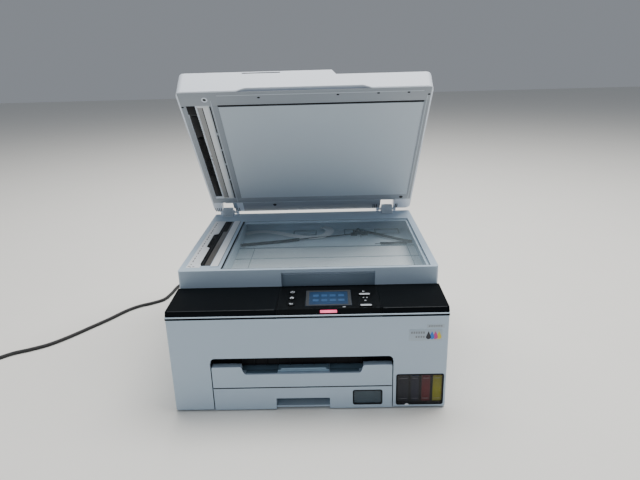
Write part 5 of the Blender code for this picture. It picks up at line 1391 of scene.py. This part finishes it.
def rear_cover_ribs():
    """Moulded ribs and a latch on the rear cover."""
    low, high = node_box("rear_cover")
    ribs = []
    for x in between(low.x + 12.0, high.x - 12.0, 13):
        ribs.append(((x - 1.1, x + 1.1), (high.y - 0.3, high.y + 0.9), (low.z + 10.0, high.z - 30.0), 0.4))
    foot = (low.z + 5.0, low.z + 7.0)
    ribs.append(((low.x + 8.0, high.x - 8.0), (high.y - 0.3, high.y + 0.7), foot, 0.3))
    blocks("rear_cover_ribs", MID_GREY, "rear_cover", ribs)
    latch = (
        ((-26.0, 26.0), (high.y - 7.6, high.y - 5.8), (high.z - 20.4, high.z - 11.0), 0.5),
        ((-20.0, 20.0), (high.y - 6.2, high.y - 2.0), (high.z - 14.0, high.z - 12.2), 0.5),
    )
    blocks("rear_cover_latch", DARK, "rear_cover", latch)


def inlet_rim():
    """The raised rim of the mains inlet."""
    low, high = node_box("power_inlet")
    rim = bmesh.new()
    outer = rounded_outline((low.x - 1.4, high.x + 1.4), (low.z - 1.4, high.z + 1.4), 2.4)
    inner = rounded_outline((low.x + 2.6, high.x - 2.6), (low.z + 5.6, high.z - 5.6), 3.4)
    plate(rim, outer, "Y", BACK_Y + 0.02, BACK_Y + 0.8, inner)
    add_piece("inlet_rim", rim, DARK, "base")


def side_panels():
    """Carrying grips with painted shade in their wells, seam lines in painted shade, and vents in painted
    shade on the two sides.
    """
    for side, word in ((1, "right"), (-1, "left")):
        wall = side * SIDE_X
        face = sorted((wall - side * 0.3, wall + side * 0.12))
        grip = bmesh.new()
        outer, inner = ring((-48.0, 62.0), (14.0, 34.0), 6.0, 3.0, 4.4)
        plate(grip, outer, "X", *sorted((wall - side * 0.3, wall + side * 0.9)), inner)
        add_piece(f"side_grip_{word}", grip, CASE_WHITE, "base")
        well = bmesh.new()
        # Painted shade in the grip's well and along the seam.
        plate(well, rounded_outline((-46.0, 60.0), (16.0, 32.0), 5.2), "X", *face)
        seam = (108.0, 108.7)
        slab(well, face, (-188.0, 188.0), seam, 0.05)
        add_piece(f"side_shade_{word}", well, SHADE, "base")
        # The vent slots are drawn as painted shade.
        vents = [(face, (110.0, 160.0), (z, z + 2.0), 0.05) for z in stepped(54.0, 6.0, 7)]
        blocks(f"side_vent_shade_{word}", PIT_BLACK, "base", vents)


back_panel()
rear_cover_ribs()
inlet_rim()
side_panels()

# ---- stage --------------------------------------------------------------------------------------
floor_mat = moulded("floor_pale", (0.80, 0.79, 0.75), 0.6, grain=60.0, depth=0.05, spread=0.015)
FLOOR_HALF = 6.0
floor_mesh = bpy.data.meshes.new("floor")
bm = bmesh.new()
bmesh.ops.create_grid(bm, x_segments=1, y_segments=1, size=FLOOR_HALF)
bm.to_mesh(floor_mesh)
bm.free()
floor = bpy.data.objects.new("floor", floor_mesh)
floor.data.materials.append(floor_mat)
bpy.context.scene.collection.objects.link(floor)

world = bpy.data.worlds.new("studio")
world.use_nodes = True
sky = world.node_tree.nodes["Background"].inputs
sky["Color"].default_value = (0.80, 0.86, 0.95, 1.0)
sky["Strength"].default_value = 0.30
bpy.context.scene.world = world


def area_light(name, place, target, size, power, colour):
    data = bpy.data.lights.new(name, "AREA")
    data.shape = "RECTANGLE"
    data.size = size[0]
    data.size_y = size[1]
    data.energy = power
    data.color = colour
    obj = bpy.data.objects.new(name, data)
    obj.location = place
    obj.rotation_mode = "QUATERNION"
    obj.rotation_quaternion = (Vector(target) - Vector(place)).to_track_quat("-Z", "Y")
    bpy.context.scene.collection.objects.link(obj)


area_light("key", (0.3, 0.5, 2.2), (0.0, 0.0, 0.1), (2.4, 1.6), 96.0, (1.0, 0.98, 0.95))
area_light("front_fill", (-0.6, -2.2, 1.4), (0.0, 0.0, 0.2), (2.0, 1.4), 7.0, (0.80, 0.90, 1.0))
